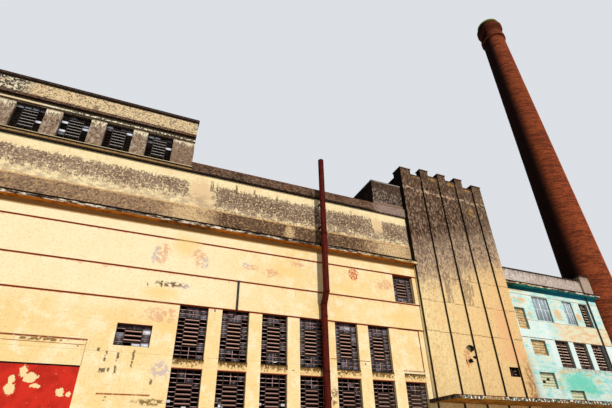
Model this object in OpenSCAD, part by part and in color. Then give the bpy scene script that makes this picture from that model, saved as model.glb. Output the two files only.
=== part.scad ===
// Old plastered factory building as a half-size model. All lengths are millimetres of the model.
// X runs along the facade to the right, Y runs into the building, Z is up.
// The origin is on the ground, in the plane of the hall's front wall, on the tower's centre line.

/* [Blocks] */
// Thickness of every outer wall
wall_t = 190; // [150:5:240]
// Depth from the hall's front face to the common back face
block_depth = 6000; // [5000:50:8000]
// Length of the hall's facade, from its left end to the tower
hall_len = 15490; // [15000:10:16500]
// Length of the wing's facade, from the tower to its right end
wing_len = 5462; // [5300:1:6400]
// Distance that the wing's wall stands behind the hall's wall
wing_setback = 100; // [40:5:180]
// Thickness of each floor slab
floor_t = 125; // [90:5:160]
// Thickness of each roof slab
roof_t = 150; // [100:5:200]
// Thickness of each ground slab
ground_slab_t = 75; // [50:5:120]

/* [Hall window rows] */
// Number of window bays in each row
bays = 7; // [5:1:7]
// Distance from one window to the next
bay_pitch = 1170; // [1000:1:1180]
// Width of a row window
window_w = 785; // [600:5:850]
// Height of a row window
window_h = 1400; // [1200:5:1500]
// Height from one row's sill to the next row's sill
storey_h = 1645; // [1600:5:1700]
// Height of the upper row's sill above the ground
upper_sill_z = 3310; // [3250:1:3500]
// Width of wall between the last window and the tower
last_pier_w = 200; // [180:1:300]
// Distance from a row's sill down to the floor behind it
sill_to_floor = 60; // [30:5:100]
// Depth that steel windows are set back from the wall's face
reveal = 100; // [60:5:110]
// Depth of the panel that closes the last bay of the upper row
panel_recess = 25; // [15:1:40]

/* [Steel windows] */
// Width of the frame's bars, seen from the front
bar_w = 16; // [10:1:24]
// Depth of the frame, front to back
frame_d = 36; // [28:1:60]
// Thickness of the glass
glass_t = 4; // [3:1:8]
// Number of pane rows in a row window
pane_rows = 13; // [11:1:14]
// Pane rows above the louvre
rows_above_louvre = 3; // [2:1:4]
// Louvre blades in a row window
blade_count = 7; // [5:1:7]
// Width of one louvre blade
blade_w = 62; // [45:1:80]
// Thickness of one louvre blade
blade_t = 4; // [3:1:6]
// Slope of the louvre blades, which fall towards the outside
blade_tilt = 52; // [20:1:60]

/* [Banded wall and cornice] */
// Distance that each band stands out from the one below
band_step = 20; // [8:1:30]
// Height of the second band's lower edge
band_2_z = 5580; // [5500:5:5660]
// Height of the third band's lower edge
band_3_z = 6600; // [6550:10:6900]
// Height of the cornice's underside
cornice_z = 7058; // [7000:2:7200]
// Thickness of the cornice
cornice_t = 132; // [100:2:180]
// Projection of the cornice
cornice_out = 250; // [220:5:260]
// Distance that the cornice laps in front of the tower
cornice_lap = 40; // [0:5:60]

/* [Frieze and parapet] */
// Height of the frieze's lower band
frieze_base_h = 636; // [500:2:750]
// Distance that the lower band stands out
frieze_base_out = 22; // [10:1:40]
// Height of the frieze's top above the ground
frieze_top_z = 9065; // [8900:5:9200]
// Height of the parapet cap
cap_h = 395; // [300:5:450]
// Projection of the parapet cap
cap_out = 60; // [40:5:80]
// Open joint between the parapet's cap stones
cap_joint = 2; // [1:1:5]

/* [Gateway and single windows] */
// Width of the walled-up gateway
gateway_w = 2100; // [1700:10:2400]
// Height of the walled-up gateway
gateway_h = 3000; // [2700:10:3050]
// Height of the lintel panel over the gateway
lintel_h = 600; // [400:2:650]
// Width of wall between the gateway and the first window
gateway_gap = 2055; // [1900:5:2200]
// Depth of the lintel panel behind the wall's face
lintel_recess = 14; // [8:1:30]
// Depth of the gateway's infill behind the wall's face
gateway_recess = 34; // [32:1:60]
// Width of the small window beside the first bay
small_window_w = 850; // [700:5:950]
// Height of the small window
small_window_h = 550; // [450:5:600]
// Height of the small window's sill
small_window_z = 3515; // [3400:5:3700]
// Width of wall between the small window and the first bay
small_window_gap = 609; // [500:5:700]
// Width of the single window high in the banded wall
high_window_w = 826; // [650:2:850]
// Distance that the high window's head lies below the third band
high_window_drop = 16; // [10:2:60]
// Distance that the high window's sill lies above the second band's edge
high_window_rise = 20; // [10:2:80]
// Width of wall between the high window and the tower
high_window_gap = 166; // [140:2:260]

/* [Penthouse] */
// Number of penthouse windows
penthouse_bays = 5; // [3:1:5]
// Distance from one penthouse window to the next
penthouse_pitch = 1250; // [1150:2:1300]
// Width of a penthouse window
penthouse_window_w = 805; // [700:1:900]
// Height of a penthouse window
penthouse_window_h = 1000; // [800:1:1050]
// Width of the piers at the penthouse's ends
penthouse_end_pier = 700; // [550:2:750]
// Depth of the penthouse, front to back
penthouse_depth = 2500; // [1800:10:3200]
// Height of the ledge under the penthouse windows
sill_ledge_h = 210; // [200:2:320]
// Height of the wall between the penthouse windows and the head ledge
penthouse_lintel_h = 235; // [120:5:260]
// Height of the head ledge
head_ledge_h = 100; // [80:1:200]
// Projection of the head ledge
head_ledge_out = 75; // [40:5:110]
// Height of the penthouse parapet above the head ledge
penthouse_parapet_h = 565; // [400:5:650]
// Thickness of the penthouse coping
penthouse_coping_t = 140; // [80:2:160]
// Projection of the penthouse coping
penthouse_coping_out = 34; // [20:2:50]

/* [Roof block beside the tower] */
// Width of the roof block
roof_block_w = 1368; // [1100:2:1500]
// Depth of the roof block
roof_block_depth = 1800; // [1400:10:2400]
// Height of the roof block's top above the ground
roof_block_top_z = 10582; // [10300:2:10700]
// Thickness of the roof block's slab
roof_block_slab_t = 64; // [40:2:100]
// Projection of the roof block's slab
roof_block_slab_out = 20; // [10:2:40]

/* [Tower] */
// Distance that the tower's panels stand in front of the hall's wall
tower_out = 140; // [100:5:160]
// Width of the outer fins
outer_fin_w = 500; // [440:2:540]
// Width of the inner fins
inner_fin_w = 396; // [340:2:440]
// Width of the panels between the fins
panel_w = 522; // [490:2:580]
// Projection of the fins from the panels
fin_out = 60; // [40:2:80]
// Depth of the tower's corner merlons, front to back
crown_depth = 500; // [420:5:600]
// Height of the tower's roof above the ground
tower_roof_z = 10900; // [10700:5:11000]
// Height of the two outer panels' tops
outer_panel_top_z = 11240; // [11100:5:11300]
// Height of the two inner panels' tops
inner_panel_top_z = 11390; // [11310:5:11430]
// Height of the two outer merlons
outer_fin_top_z = 11440; // [11350:5:11500]
// Height of the three inner merlons
inner_fin_top_z = 11585; // [11520:5:11700]
// Thickness of the merlon caps
fin_cap_t = 40; // [24:2:60]
// Projection of the merlon caps
fin_cap_out = 24; // [10:2:40]
// Thickness of the panels' copings
panel_coping_t = 26; // [16:2:40]
// Width of the small tower window
tower_window_w = 456; // [300:2:460]
// Height of the small tower window
tower_window_h = 318; // [250:2:400]
// Height of the small tower window's sill
tower_window_z = 3413; // [3380:2:3600]
// Radius of the round vent cowl
cowl_r = 125; // [90:5:150]
// Thickness of the cowl's sheet
cowl_t = 8; // [5:1:15]
// Height of the vent cowl's centre
cowl_z = 4208; // [4000:2:4400]
// Length of the stub that carries the cowl
cowl_stub = 70; // [50:5:90]

/* [Wing] */
// Width of the wing's row windows
wing_window_w = 745; // [650:1:800]
// Height of the wing's row windows
wing_window_h = 1005; // [900:5:1050]
// Distance from one wing window to the next
wing_pitch = 1023; // [950:1:1104]
// Distance from the last wing window to the wing's right end
wing_end_w = 585; // [540:1:700]
// Height of the middle row's sill
wing_sill_z = 3940; // [3800:5:4000]
// Height of the wing's storeys
wing_storey_h = 1732; // [1700:2:1790]
// Depth from a wing sill down to the floor behind it
wing_sill_to_floor = 244; // [150:2:300]
// Width of the wide shutter in the top row
wide_shutter_w = 894; // [750:2:900]
// Distance that the wide shutter starts left of the window below
wide_shutter_shift = 565; // [500:5:640]
// Distance that the other top openings start right of the windows below
top_row_shift = 140; // [20:5:180]
// Width of the narrow shutter in the top row
narrow_shutter_w = 580; // [480:2:640]
// Width of the last window in the top row
top_window_w = 522; // [450:2:600]
// Depth of the closed shutters behind the wall's face
shutter_recess = 70; // [40:2:90]
// Thickness of the closed shutters
shutter_t = 40; // [24:2:60]
// Height of the wing's middle band
wing_band_h = 690; // [600:2:720]
// Height of the wing's band above the middle row's sill
wing_band_rise = 1015; // [1010:1:1090]
// Projection of the wing's middle band
wing_band_out = 16; // [8:1:30]
// Depth of the walled-up openings behind the wall's face
blocked_recess = 86; // [30:2:100]
// Thickness of the masonry in the walled-up openings
blocked_t = 100; // [60:2:110]
// Height of the wing cornice's underside
wing_cornice_z = 7015; // [6950:5:7100]
// Thickness of the wing's cornice
wing_cornice_t = 115; // [90:5:150]
// Projection of the wing's cornice
wing_cornice_out = 235; // [180:5:260]
// Distance that the wing's cornice runs past the end wall
wing_cornice_end = 100; // [40:5:140]
// Height of the wing's parapet above the cornice
wing_parapet_h = 688; // [550:2:800]
// Width of the pier at the parapet's right end
end_pier_w = 576; // [500:2:700]
// Height of the end pier above the cornice
end_pier_h = 920; // [900:2:1150]
// Distance that the end pier stands in front of the parapet
end_pier_out = 90; // [10:5:120]

/* [Canopy and doorways] */
// Height of the canopy's top above the ground
canopy_top_z = 2600; // [2480:5:2640]
// Thickness of the canopy
canopy_t = 105; // [80:5:130]
// Projection of the canopy from the hall's wall plane
canopy_out = 1200; // [900:10:1400]
// Distance that the canopy runs past the tower's left side
canopy_lap = 195; // [120:5:240]
// Height of the base walls beside the doorways
base_wall_h = 1250; // [1100:5:1400]
// Width of the wing's doorway
wing_door_w = 900; // [700:10:1000]
// Distance from the tower to the wing's doorway
wing_door_gap = 700; // [500:10:900]

/* [Pipes] */
// Radius of the vent pipe
pipe_r = 100; // [80:2:105]
// Wall of the vent pipe
pipe_wall = 8; // [5:1:14]
// Distance of the pipe's lower length from the hall's wall, to its axis
pipe_low_off = 150; // [140:2:170]
// Distance of the pipe's upper length from the hall's wall, to its axis
pipe_high_off = 366; // [366:2:400]
// Distance from the tower to the pipe
pipe_from_tower = 3742; // [3650:2:3800]
// Height at which the pipe starts to bend outwards
pipe_bend_z = 5130; // [5100:10:5400]
// Height that the bend takes
pipe_bend_h = 380; // [330:10:450]
// Height of the pipe's top above the ground
pipe_top_z = 10600; // [10000:10:11000]
// Radius of the collars round the pipe
collar_r = 116; // [110:1:116]
// Radius of the elbow sockets at the bend
elbow_r = 108; // [106:1:112]
// Height of one collar
collar_h = 60; // [40:2:90]
// Height of the lower collar
low_collar_z = 2440; // [2300:10:3000]
// Distance of the upper collar above the cornice
high_collar_rise = 330; // [200:10:600]
// Height of the brackets that tie the pipe to the wall
bracket_h = 40; // [30:2:60]
// Width of the brackets
bracket_w = 60; // [40:2:80]
// Distance of the lowest bracket below the lower sills
first_bracket_drop = 240; // [100:10:600]
// Distance of the highest bracket below the frieze's top
last_bracket_drop = 300; // [100:10:500]
// Radius of the conduit stub and of the wing's downpipe
thin_pipe_r = 30; // [20:1:40]

/* [Chimney] */
// Side of the square pedestal
pedestal_w = 2800; // [2600:10:3200]
// Height of the pedestal
pedestal_h = 3000; // [2600:10:3400]
// Height of the courses that step in at the pedestal's top
pedestal_step_h = 120; // [80:5:160]
// Distance that each of those courses steps in
pedestal_step_in = 40; // [25:1:50]
// Distance of the chimney's axis behind the hall's wall plane
chimney_y = 918; // [700:1:2000]
// Radius of the shaft at the ground
chimney_base_r = 1149; // [1050:1:1250]
// Radius of the shaft at its full height
chimney_top_r = 676; // [620:2:760]
// Height of the chimney above the ground
chimney_h = 28250; // [26000:50:30000]
// Height of the crown, from its first corbel course to its top
crown_h = 1080; // [1000:10:2000]
// Distance that the crown's widest course stands out from the shaft
crown_out = 150; // [90:5:180]
// Height of one corbel course
corbel_h = 75; // [40:5:80]
// Number of corbel courses in the crown
corbels = 6; // [2:1:7]
// Height of the widest course above the corbels
crown_band_h = 190; // [120:5:240]
// Distance that the rim over that course stands out from the shaft
rim_out = 20; // [10:2:24]
// Distance from the ring course to the crown
ring_drop = 690; // [500:10:1200]
// Height of the ring course
ring_h = 250; // [80:5:300]
// Distance that the ring course stands out
ring_out = 90; // [20:5:110]
// Thickness of the shaft's wall at the ground
shaft_wall_base = 300; // [240:5:360]
// Thickness of the shaft's wall at the top
shaft_wall_top = 140; // [120:5:180]

/* [Hidden] */
$fn = 64;
// Overrun that lets a cut pass clean through a face
over = 10;
// Angles that the cowl's mouth is turned to the side and tipped forwards
cowl_turn = 35;
cowl_tip = -30;

// Tower outline
tower_w = 2 * outer_fin_w + 3 * inner_fin_w + 4 * panel_w;
tower_left = -tower_w / 2;
tower_right = tower_w / 2;
tower_front_y = -tower_out;
fin_front_y = tower_front_y - fin_out;
tower_back_y = tower_front_y + wall_t;
crown_y = fin_front_y + crown_depth;
// Fins from left to right: where each starts, how wide it is and how high it stands
fin_w = [outer_fin_w, inner_fin_w, inner_fin_w, inner_fin_w, outer_fin_w];
fin_top = [outer_fin_top_z, inner_fin_top_z, inner_fin_top_z, inner_fin_top_z, outer_fin_top_z];
last_fin = len(fin_w) - 1;
fins = [0:last_fin];
fin_x = [for (i = fins) i == 0 ? tower_left : tower_left + outer_fin_w + (i - 1) * inner_fin_w + i * panel_w];
// Panels between them: where each starts and how high it stands
panels = [0:last_fin - 1];
panel_x = [for (i = panels) fin_x[i] + fin_w[i]];
panel_top = [outer_panel_top_z, inner_panel_top_z, inner_panel_top_z, outer_panel_top_z];
// Height at which each fin widens into a merlon, and the merlon's rear face
merlon_z = [for (i = fins) max([for (k = panels) if (k == i || k == i - 1) panel_top[k]])];
merlon_back_y = [for (i = fins) i == 0 || i == last_fin ? crown_y : tower_back_y];

// Hall outline
back_y = block_depth - wall_t;
hall_left = tower_left - hall_len;
lower_sill_z = upper_sill_z - storey_h;
head_z = upper_sill_z + window_h;
cornice_top_z = cornice_z + cornice_t;
frieze_base_top_z = cornice_top_z + frieze_base_h;
first_window_x = tower_left - last_pier_w - window_w - (bays - 1) * bay_pitch;
window_x = [for (i = [0:bays - 1]) first_window_x + i * bay_pitch];
gateway_x = first_window_x - gateway_gap - gateway_w;
lintel_top_z = gateway_h + lintel_h;
small_window_x = first_window_x - small_window_gap - small_window_w;
high_window_x = tower_left - high_window_gap - high_window_w;
high_window_z = band_2_z + high_window_rise;
high_window_h = band_3_z - high_window_drop - high_window_z;
hall_floor_z = [for (i = [0:2]) lower_sill_z - sill_to_floor + i * storey_h];
// Lower edge of each band and, last, the top of them all
band_z = [head_z, band_2_z, band_3_z, cornice_z];

// Steel windows: pane rows, pane rows above the louvre, louvre blades and the louvre's share of the width
row_panes = [pane_rows, rows_above_louvre, blade_count, 1 / 2];
small_panes = [5, 1, 3, 1 / 2];
high_panes = [9, 2, 5, 1 / 2];
tower_panes = [3, 1, 1, 1 / 2];
penthouse_panes = [9, 1, 6, 1 / 2];
wing_panes = [9, 1, 7, 1];

// Penthouse and roof block outline
penthouse_w = 2 * penthouse_end_pier + (penthouse_bays - 1) * penthouse_pitch + penthouse_window_w;
penthouse_right = hall_left + penthouse_w;
penthouse_sill_z = frieze_top_z + sill_ledge_h;
penthouse_head_z = penthouse_sill_z + penthouse_window_h;
head_ledge_z = penthouse_head_z + penthouse_lintel_h;
head_ledge_top_z = head_ledge_z + head_ledge_h;
penthouse_top_z = head_ledge_top_z + penthouse_parapet_h;
roof_block_left = tower_left - roof_block_w;
roof_block_wall_top_z = roof_block_top_z - roof_block_slab_t;
cap_top_z = frieze_top_z + cap_h;

// Wing outline
wing_right = tower_right + wing_len;
wing_y = wing_setback;
wing_inner_y = wing_y + wall_t;
wing_row_x = [for (i = [0:2]) wing_right - wing_end_w - wing_window_w - (2 - i) * wing_pitch];
wing_top_sill_z = wing_sill_z + wing_storey_h;
wing_top_shift = [-wide_shutter_shift, top_row_shift, top_row_shift];
wing_top_x = [for (i = [0:2]) wing_row_x[i] + wing_top_shift[i]];
wing_top_w = [wide_shutter_w, narrow_shutter_w, top_window_w];
wing_band_z = wing_sill_z + wing_band_rise;
wing_cornice_top_z = wing_cornice_z + wing_cornice_t;
wing_floor_z = [for (i = [-1:1]) wing_sill_z - wing_sill_to_floor + i * wing_storey_h];
canopy_z = canopy_top_z - canopy_t;
// Walled-up openings of the wing: left edge from the tower, sill height, width and height
blocked = [
    [384, 5266, 540, 848],
    [782, 4322, 760, 568],
    [738, 3152, 776, 556],
    [2078, 2690, 735, 445]
];

// Pipe and chimney outline
pipe_x = tower_left - pipe_from_tower;
pipe_high_z = pipe_bend_z + pipe_bend_h;
high_collar_z = cornice_top_z + high_collar_rise;
// Brackets: the height of each, the pipe's distance there and the wall's face behind it
pipe_ties = [
    [lower_sill_z - first_bracket_drop, pipe_low_off, 0],
    [upper_sill_z - (storey_h - window_h + bracket_h) / 2, pipe_low_off, 0],
    [head_z + bracket_h, pipe_low_off, -band_step],
    [frieze_base_top_z + bracket_h, pipe_high_off, 0],
    [frieze_top_z - last_bracket_drop, pipe_high_off, 0]
];
chimney_x = wing_right + pedestal_w / 2;
crown_z = chimney_h - crown_h;
taper = (chimney_base_r - chimney_top_r) / chimney_h;
flue_base_r = chimney_base_r - shaft_wall_base;
flue_top_r = chimney_top_r - shaft_wall_top;
flue_taper = (flue_base_r - flue_top_r) / chimney_h;
function shaft_r(z) = chimney_base_r - taper * z;
function flue_r(z) = flue_base_r - flue_taper * z;

// A block given by its low corner and its high corner
module block(low, high) {
    translate(low) cube([for (i = [0:2]) high[i] - low[i]]);
}

// A steel frame on a window of w by h: tilted louvre blades between two mullions or, where the louvre is
// as wide as the window, across a single one
module steel_frame(w, h, panes) {
    row = h / panes[0];
    louvre_top = h - panes[1] * row;
    louvre_low = louvre_top - panes[2] * row;
    full = panes[3] == 1;
    side = full ? bar_w / 2 : w * (1 - panes[3]) / 2;
    difference() {
        cube([w, frame_d, h]);
        translate([bar_w, -over, bar_w]) cube([w - 2 * bar_w, frame_d + 2 * over, h - 2 * bar_w]);
    }
    for (x = full ? [w / 2] : [side, w - side])
        translate([x - bar_w / 2, 0, bar_w / 2]) cube([bar_w, frame_d, h - bar_w]);
    for (z = [louvre_low, louvre_top])
        translate([side, 0, z - bar_w / 2]) cube([w - 2 * side, frame_d, bar_w]);
    for (i = [0:panes[2] - 1])
        translate([side, frame_d / 2, louvre_low + (i + 0.5) * row])
            rotate([blade_tilt, 0, 0])
                translate([0, -blade_w / 2, -blade_t / 2]) cube([w - 2 * side, blade_w, blade_t]);
}

// The glass behind such a frame, open behind the louvre
module frame_glass(w, h, panes) {
    row = h / panes[0];
    louvre_h = panes[2] * row;
    louvre_low = h - panes[1] * row - louvre_h;
    side = panes[3] == 1 ? -over : w * (1 - panes[3]) / 2;
    translate([0, frame_d, 0]) difference() {
        cube([w, glass_t, h]);
        translate([side, -over, louvre_low]) cube([w - 2 * side, glass_t + 2 * over, louvre_h]);
    }
}

// Both window rows of the hall, for a front wall or, turned round, for the back wall
module hall_rows(skip_panel) {
    for (i = [0:bays - 1], row = [0:1])
        if (!(skip_panel && row == 1 && i == bays - 1))
            translate([window_x[i], 0, lower_sill_z + row * storey_h]) children();
}

// Holes for both window rows through a hall wall
module hall_row_holes() {
    hall_rows(false) translate([0, -over, 0]) cube([window_w, wall_t + 2 * over, window_h]);
}

// Turns what faces the front of the hall to face the back
module to_back() {
    translate([0, block_depth, 0]) mirror([0, 1, 0]) children();
}

module hall_front_wall() {
    color("navajowhite") difference() {
        block([hall_left, 0, 0], [tower_left, wall_t, head_z]);
        hall_row_holes();
        block([gateway_x, -over, -over], [gateway_x + gateway_w, wall_t + over, lintel_top_z]);
        translate([small_window_x, -over, small_window_z])
            cube([small_window_w, wall_t + 2 * over, small_window_h]);
    }
}

module hall_banded_wall() {
    bands = len(band_z) - 1;
    profile = concat(
        [[wall_t, cornice_z], [wall_t, head_z]],
        [for (i = [1:bands], edge = [i - 1:i]) [-band_step * i, band_z[edge]]]
    );
    color("wheat") difference() {
        translate([hall_left, 0, 0]) rotate([90, 0, 90]) linear_extrude(hall_len) polygon(profile);
        translate([high_window_x, -band_step * bands - over, high_window_z])
            cube([high_window_w, wall_t + band_step * bands + 2 * over, high_window_h]);
    }
}

module hall_cornice() {
    color("ivory") {
        block([hall_left, -cornice_out, cornice_z], [tower_left, wall_t, cornice_top_z]);
        block([tower_left - over, -cornice_out, cornice_z],
              [tower_left + cornice_lap, fin_front_y, cornice_top_z]);
    }
}

module hall_frieze_wall() {
    profile = [
        [wall_t, cornice_top_z], [-frieze_base_out, cornice_top_z], [-frieze_base_out, frieze_base_top_z],
        [0, frieze_base_top_z], [0, frieze_top_z], [wall_t, frieze_top_z]
    ];
    color("tan") translate([hall_left, 0, 0])
        rotate([90, 0, 90]) linear_extrude(hall_len) polygon(profile);
}

module hall_parapet_caps() {
    color("dimgray") {
        block([penthouse_right, -cap_out, frieze_top_z], [tower_left, wall_t, cap_top_z]);
        block([hall_left, back_y, frieze_top_z], [tower_left, block_depth + cap_out, cap_top_z]);
        block([hall_left, penthouse_depth + cap_joint, frieze_top_z],
              [hall_left + wall_t, back_y - cap_joint, cap_top_z]);
    }
}

module hall_end_wall() {
    color("wheat") block([hall_left, wall_t, 0], [hall_left + wall_t, back_y, frieze_top_z]);
}

module hall_back_wall() {
    color("wheat") difference() {
        block([hall_left, back_y, 0], [tower_left, block_depth, frieze_top_z]);
        to_back() hall_row_holes();
    }
}

// Places frames or glass in the small window and in the high window
module small_window_place() {
    translate([small_window_x, reveal, small_window_z]) children();
}

module high_window_place() {
    translate([high_window_x, reveal, high_window_z]) children();
}

module tower_window_place() {
    last_panel_x = panel_x[len(panel_x) - 1];
    translate([last_panel_x + (panel_w - tower_window_w) / 2, tower_front_y + reveal, tower_window_z])
        children();
}

module hall_window_frames() {
    color("slategray") {
        hall_rows(true) translate([0, reveal, 0])
            steel_frame(window_w, window_h, row_panes);
        small_window_place() steel_frame(small_window_w, small_window_h, small_panes);
        high_window_place() steel_frame(high_window_w, high_window_h, high_panes);
        tower_window_place() steel_frame(tower_window_w, tower_window_h, tower_panes);
    }
}

module hall_window_glass() {
    color("lightsteelblue") {
        hall_rows(true) translate([0, reveal, 0])
            frame_glass(window_w, window_h, row_panes);
        small_window_place() frame_glass(small_window_w, small_window_h, small_panes);
        high_window_place() frame_glass(high_window_w, high_window_h, high_panes);
        tower_window_place() frame_glass(tower_window_w, tower_window_h, tower_panes);
    }
}

module back_window_frames() {
    color("slategray") {
        to_back() hall_rows(false) translate([0, reveal, 0])
            steel_frame(window_w, window_h, row_panes);
        to_back() wing_back_rows() translate([0, reveal, 0])
            steel_frame(wing_window_w, wing_window_h, wing_panes);
    }
}

module back_window_glass() {
    color("lightsteelblue") {
        to_back() hall_rows(false) translate([0, reveal, 0])
            frame_glass(window_w, window_h, row_panes);
        to_back() wing_back_rows() translate([0, reveal, 0])
            frame_glass(wing_window_w, wing_window_h, wing_panes);
    }
}

module window_infill_panel() {
    color("wheat") translate([window_x[bays - 1], panel_recess, upper_sill_z])
        cube([window_w, wall_t - panel_recess, window_h]);
}

module gateway_infill() {
    color("firebrick") block([gateway_x, gateway_recess, 0], [gateway_x + gateway_w, wall_t, gateway_h]);
}

module gateway_lintel() {
    color("wheat")
        block([gateway_x, lintel_recess, gateway_h], [gateway_x + gateway_w, wall_t, lintel_top_z]);
}

// One child at each penthouse window's lower left corner
module penthouse_row() {
    for (i = [0:penthouse_bays - 1])
        translate([hall_left + penthouse_end_pier + i * penthouse_pitch, 0, penthouse_sill_z]) children();
}

module penthouse_front_wall() {
    color("tan") difference() {
        block([hall_left, 0, penthouse_sill_z], [penthouse_right, wall_t, penthouse_top_z]);
        penthouse_row() translate([0, -over, -over])
            cube([penthouse_window_w, wall_t + 2 * over, penthouse_window_h + over]);
    }
}

module penthouse_rear_walls() {
    color("tan") difference() {
        block([hall_left, wall_t, frieze_top_z], [penthouse_right, penthouse_depth, penthouse_top_z]);
        block([hall_left + wall_t, wall_t - over, frieze_top_z - over],
              [penthouse_right - wall_t, penthouse_depth - wall_t, penthouse_top_z + over]);
    }
}

module penthouse_ledges() {
    color("dimgray") {
        block([hall_left, -cap_out, frieze_top_z], [penthouse_right, wall_t, penthouse_sill_z]);
        block([hall_left, -head_ledge_out, head_ledge_z], [penthouse_right, 0, head_ledge_top_z]);
    }
}

module penthouse_coping() {
    out = penthouse_coping_out;
    coping_top_z = penthouse_top_z + penthouse_coping_t;
    color("dimgray") difference() {
        block([hall_left, -out, penthouse_top_z],
              [penthouse_right + out, penthouse_depth + out, coping_top_z]);
        block([hall_left + wall_t, wall_t, penthouse_top_z - over],
              [penthouse_right - wall_t, penthouse_depth - wall_t, coping_top_z + over]);
    }
}

module penthouse_window_frames() {
    color("slategray") penthouse_row() translate([0, reveal, 0])
        steel_frame(penthouse_window_w, penthouse_window_h, penthouse_panes);
}

module penthouse_window_glass() {
    color("lightsteelblue") penthouse_row() translate([0, reveal, 0])
        frame_glass(penthouse_window_w, penthouse_window_h, penthouse_panes);
}

module roof_block_walls() {
    inner_x = roof_block_left + wall_t;
    rear_y = roof_block_depth - wall_t;
    color("wheat") difference() {
        union() {
            block([roof_block_left, 0, cap_top_z], [tower_left, roof_block_depth, roof_block_wall_top_z]);
            block([roof_block_left, wall_t, frieze_top_z], [tower_left, roof_block_depth, cap_top_z + over]);
        }
        block([inner_x, wall_t, frieze_top_z - over], [tower_left + over, rear_y, roof_block_top_z]);
    }
}

module floor_slabs() {
    inner_left = hall_left + wall_t;
    color("gray") {
        block([inner_left, wall_t, 0], [tower_left, back_y, ground_slab_t]);
        for (z = hall_floor_z) block([inner_left, wall_t, z - floor_t], [tower_left, back_y, z]);
        block([tower_left + wall_t, tower_back_y, 0], [tower_right - wall_t, back_y, ground_slab_t]);
        block([tower_left + wall_t, tower_back_y, hall_floor_z[1] - floor_t],
              [tower_right - wall_t, back_y, hall_floor_z[1]]);
        block([tower_right, wing_inner_y, 0], [wing_right - wall_t, back_y, ground_slab_t]);
        for (z = wing_floor_z)
            block([tower_right, wing_inner_y, z - floor_t], [wing_right - wall_t, back_y, z]);
    }
}

module roof_slabs() {
    color("gray") {
        block([hall_left + wall_t, wall_t, frieze_top_z - roof_t], [tower_left, back_y, frieze_top_z]);
        block([tower_left + wall_t, tower_back_y, tower_roof_z - roof_t],
              [tower_right - wall_t, back_y, tower_roof_z]);
        block([tower_right, wing_inner_y, wing_cornice_top_z - roof_t],
              [wing_right - wall_t, back_y, wing_cornice_top_z]);
        block([hall_left + wall_t, wall_t, head_ledge_top_z - roof_t],
              [penthouse_right - wall_t, penthouse_depth - wall_t, head_ledge_top_z]);
        block([roof_block_left - roof_block_slab_out, -roof_block_slab_out, roof_block_wall_top_z],
              [tower_left, roof_block_depth + roof_block_slab_out, roof_block_top_z]);
    }
}

module tower_base_wall() {
    color("burlywood") {
        block([tower_left, tower_front_y, 0], [panel_x[2], tower_back_y, base_wall_h]);
        block([fin_x[3], tower_front_y, 0], [tower_right, tower_back_y, base_wall_h]);
    }
}

module tower_front_wall() {
    color("burlywood") difference() {
        union() {
            block([tower_left, tower_front_y, base_wall_h], [tower_right, tower_back_y, outer_panel_top_z]);
            block([fin_x[1], tower_front_y, tower_roof_z], [panel_x[3], tower_back_y, inner_panel_top_z]);
        }
        tower_window_place() translate([0, -reveal - over, 0])
            cube([tower_window_w, wall_t + 2 * over, tower_window_h]);
    }
}

module tower_fins() {
    color("peru") {
        for (i = fins) {
            right = fin_x[i] + fin_w[i];
            block([fin_x[i], fin_front_y, 0], [right, tower_front_y, fin_top[i]]);
            block([fin_x[i], fin_front_y, merlon_z[i]], [right, merlon_back_y[i], fin_top[i]]);
        }
        for (i = [0, last_fin])
            block([fin_x[i], tower_back_y, tower_roof_z], [fin_x[i] + fin_w[i], crown_y, fin_top[i]]);
    }
}

module tower_copings() {
    out = fin_cap_out;
    color("dimgray") {
        for (i = fins)
            block([fin_x[i] - out, fin_front_y - out, fin_top[i]],
                  [fin_x[i] + fin_w[i] + out, merlon_back_y[i] + out, fin_top[i] + fin_cap_t]);
        for (i = panels)
            block([panel_x[i], tower_front_y - out, panel_top[i]],
                  [panel_x[i] + panel_w, tower_back_y, panel_top[i] + panel_coping_t]);
    }
}

module tower_side_walls() {
    profile = [
        [tower_back_y, 0], [back_y, 0], [back_y, outer_panel_top_z], [crown_y, outer_panel_top_z],
        [crown_y, tower_roof_z], [tower_back_y, tower_roof_z]
    ];
    color("burlywood") for (x = [tower_left, tower_right - wall_t])
        translate([x, 0, 0]) rotate([90, 0, 90]) linear_extrude(wall_t) polygon(profile);
}

module tower_back_wall() {
    color("burlywood") block([tower_left, back_y, 0], [tower_right, block_depth, outer_panel_top_z]);
}

// A hollow spherical hood that ends at the panel's face and opens downwards
module tower_cowl() {
    centre = [panel_x[1] + panel_w / 2, tower_front_y - cowl_stub, cowl_z];
    reach = 2 * cowl_r;
    color("gray") translate(centre) difference() {
        sphere(cowl_r);
        sphere(cowl_r - cowl_t);
        rotate([0, cowl_turn, 0]) rotate([cowl_tip, 0, 0]) block([-reach, -reach, -reach], [reach, reach, 0]);
        block([-reach, cowl_stub, -reach], [reach, reach, reach]);
    }
}

// One child at each window of the wing's back wall, placed as if on the front
module wing_back_rows() {
    for (x = wing_row_x, z = [wing_sill_z, wing_top_sill_z]) translate([x, 0, z]) children();
}

module wing_base_wall() {
    door_x = tower_right + wing_door_gap;
    color("paleturquoise") {
        block([tower_right, wing_y, 0], [door_x, wing_inner_y, base_wall_h]);
        block([door_x + wing_door_w, wing_y, 0], [wing_right, wing_inner_y, base_wall_h]);
    }
}

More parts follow.
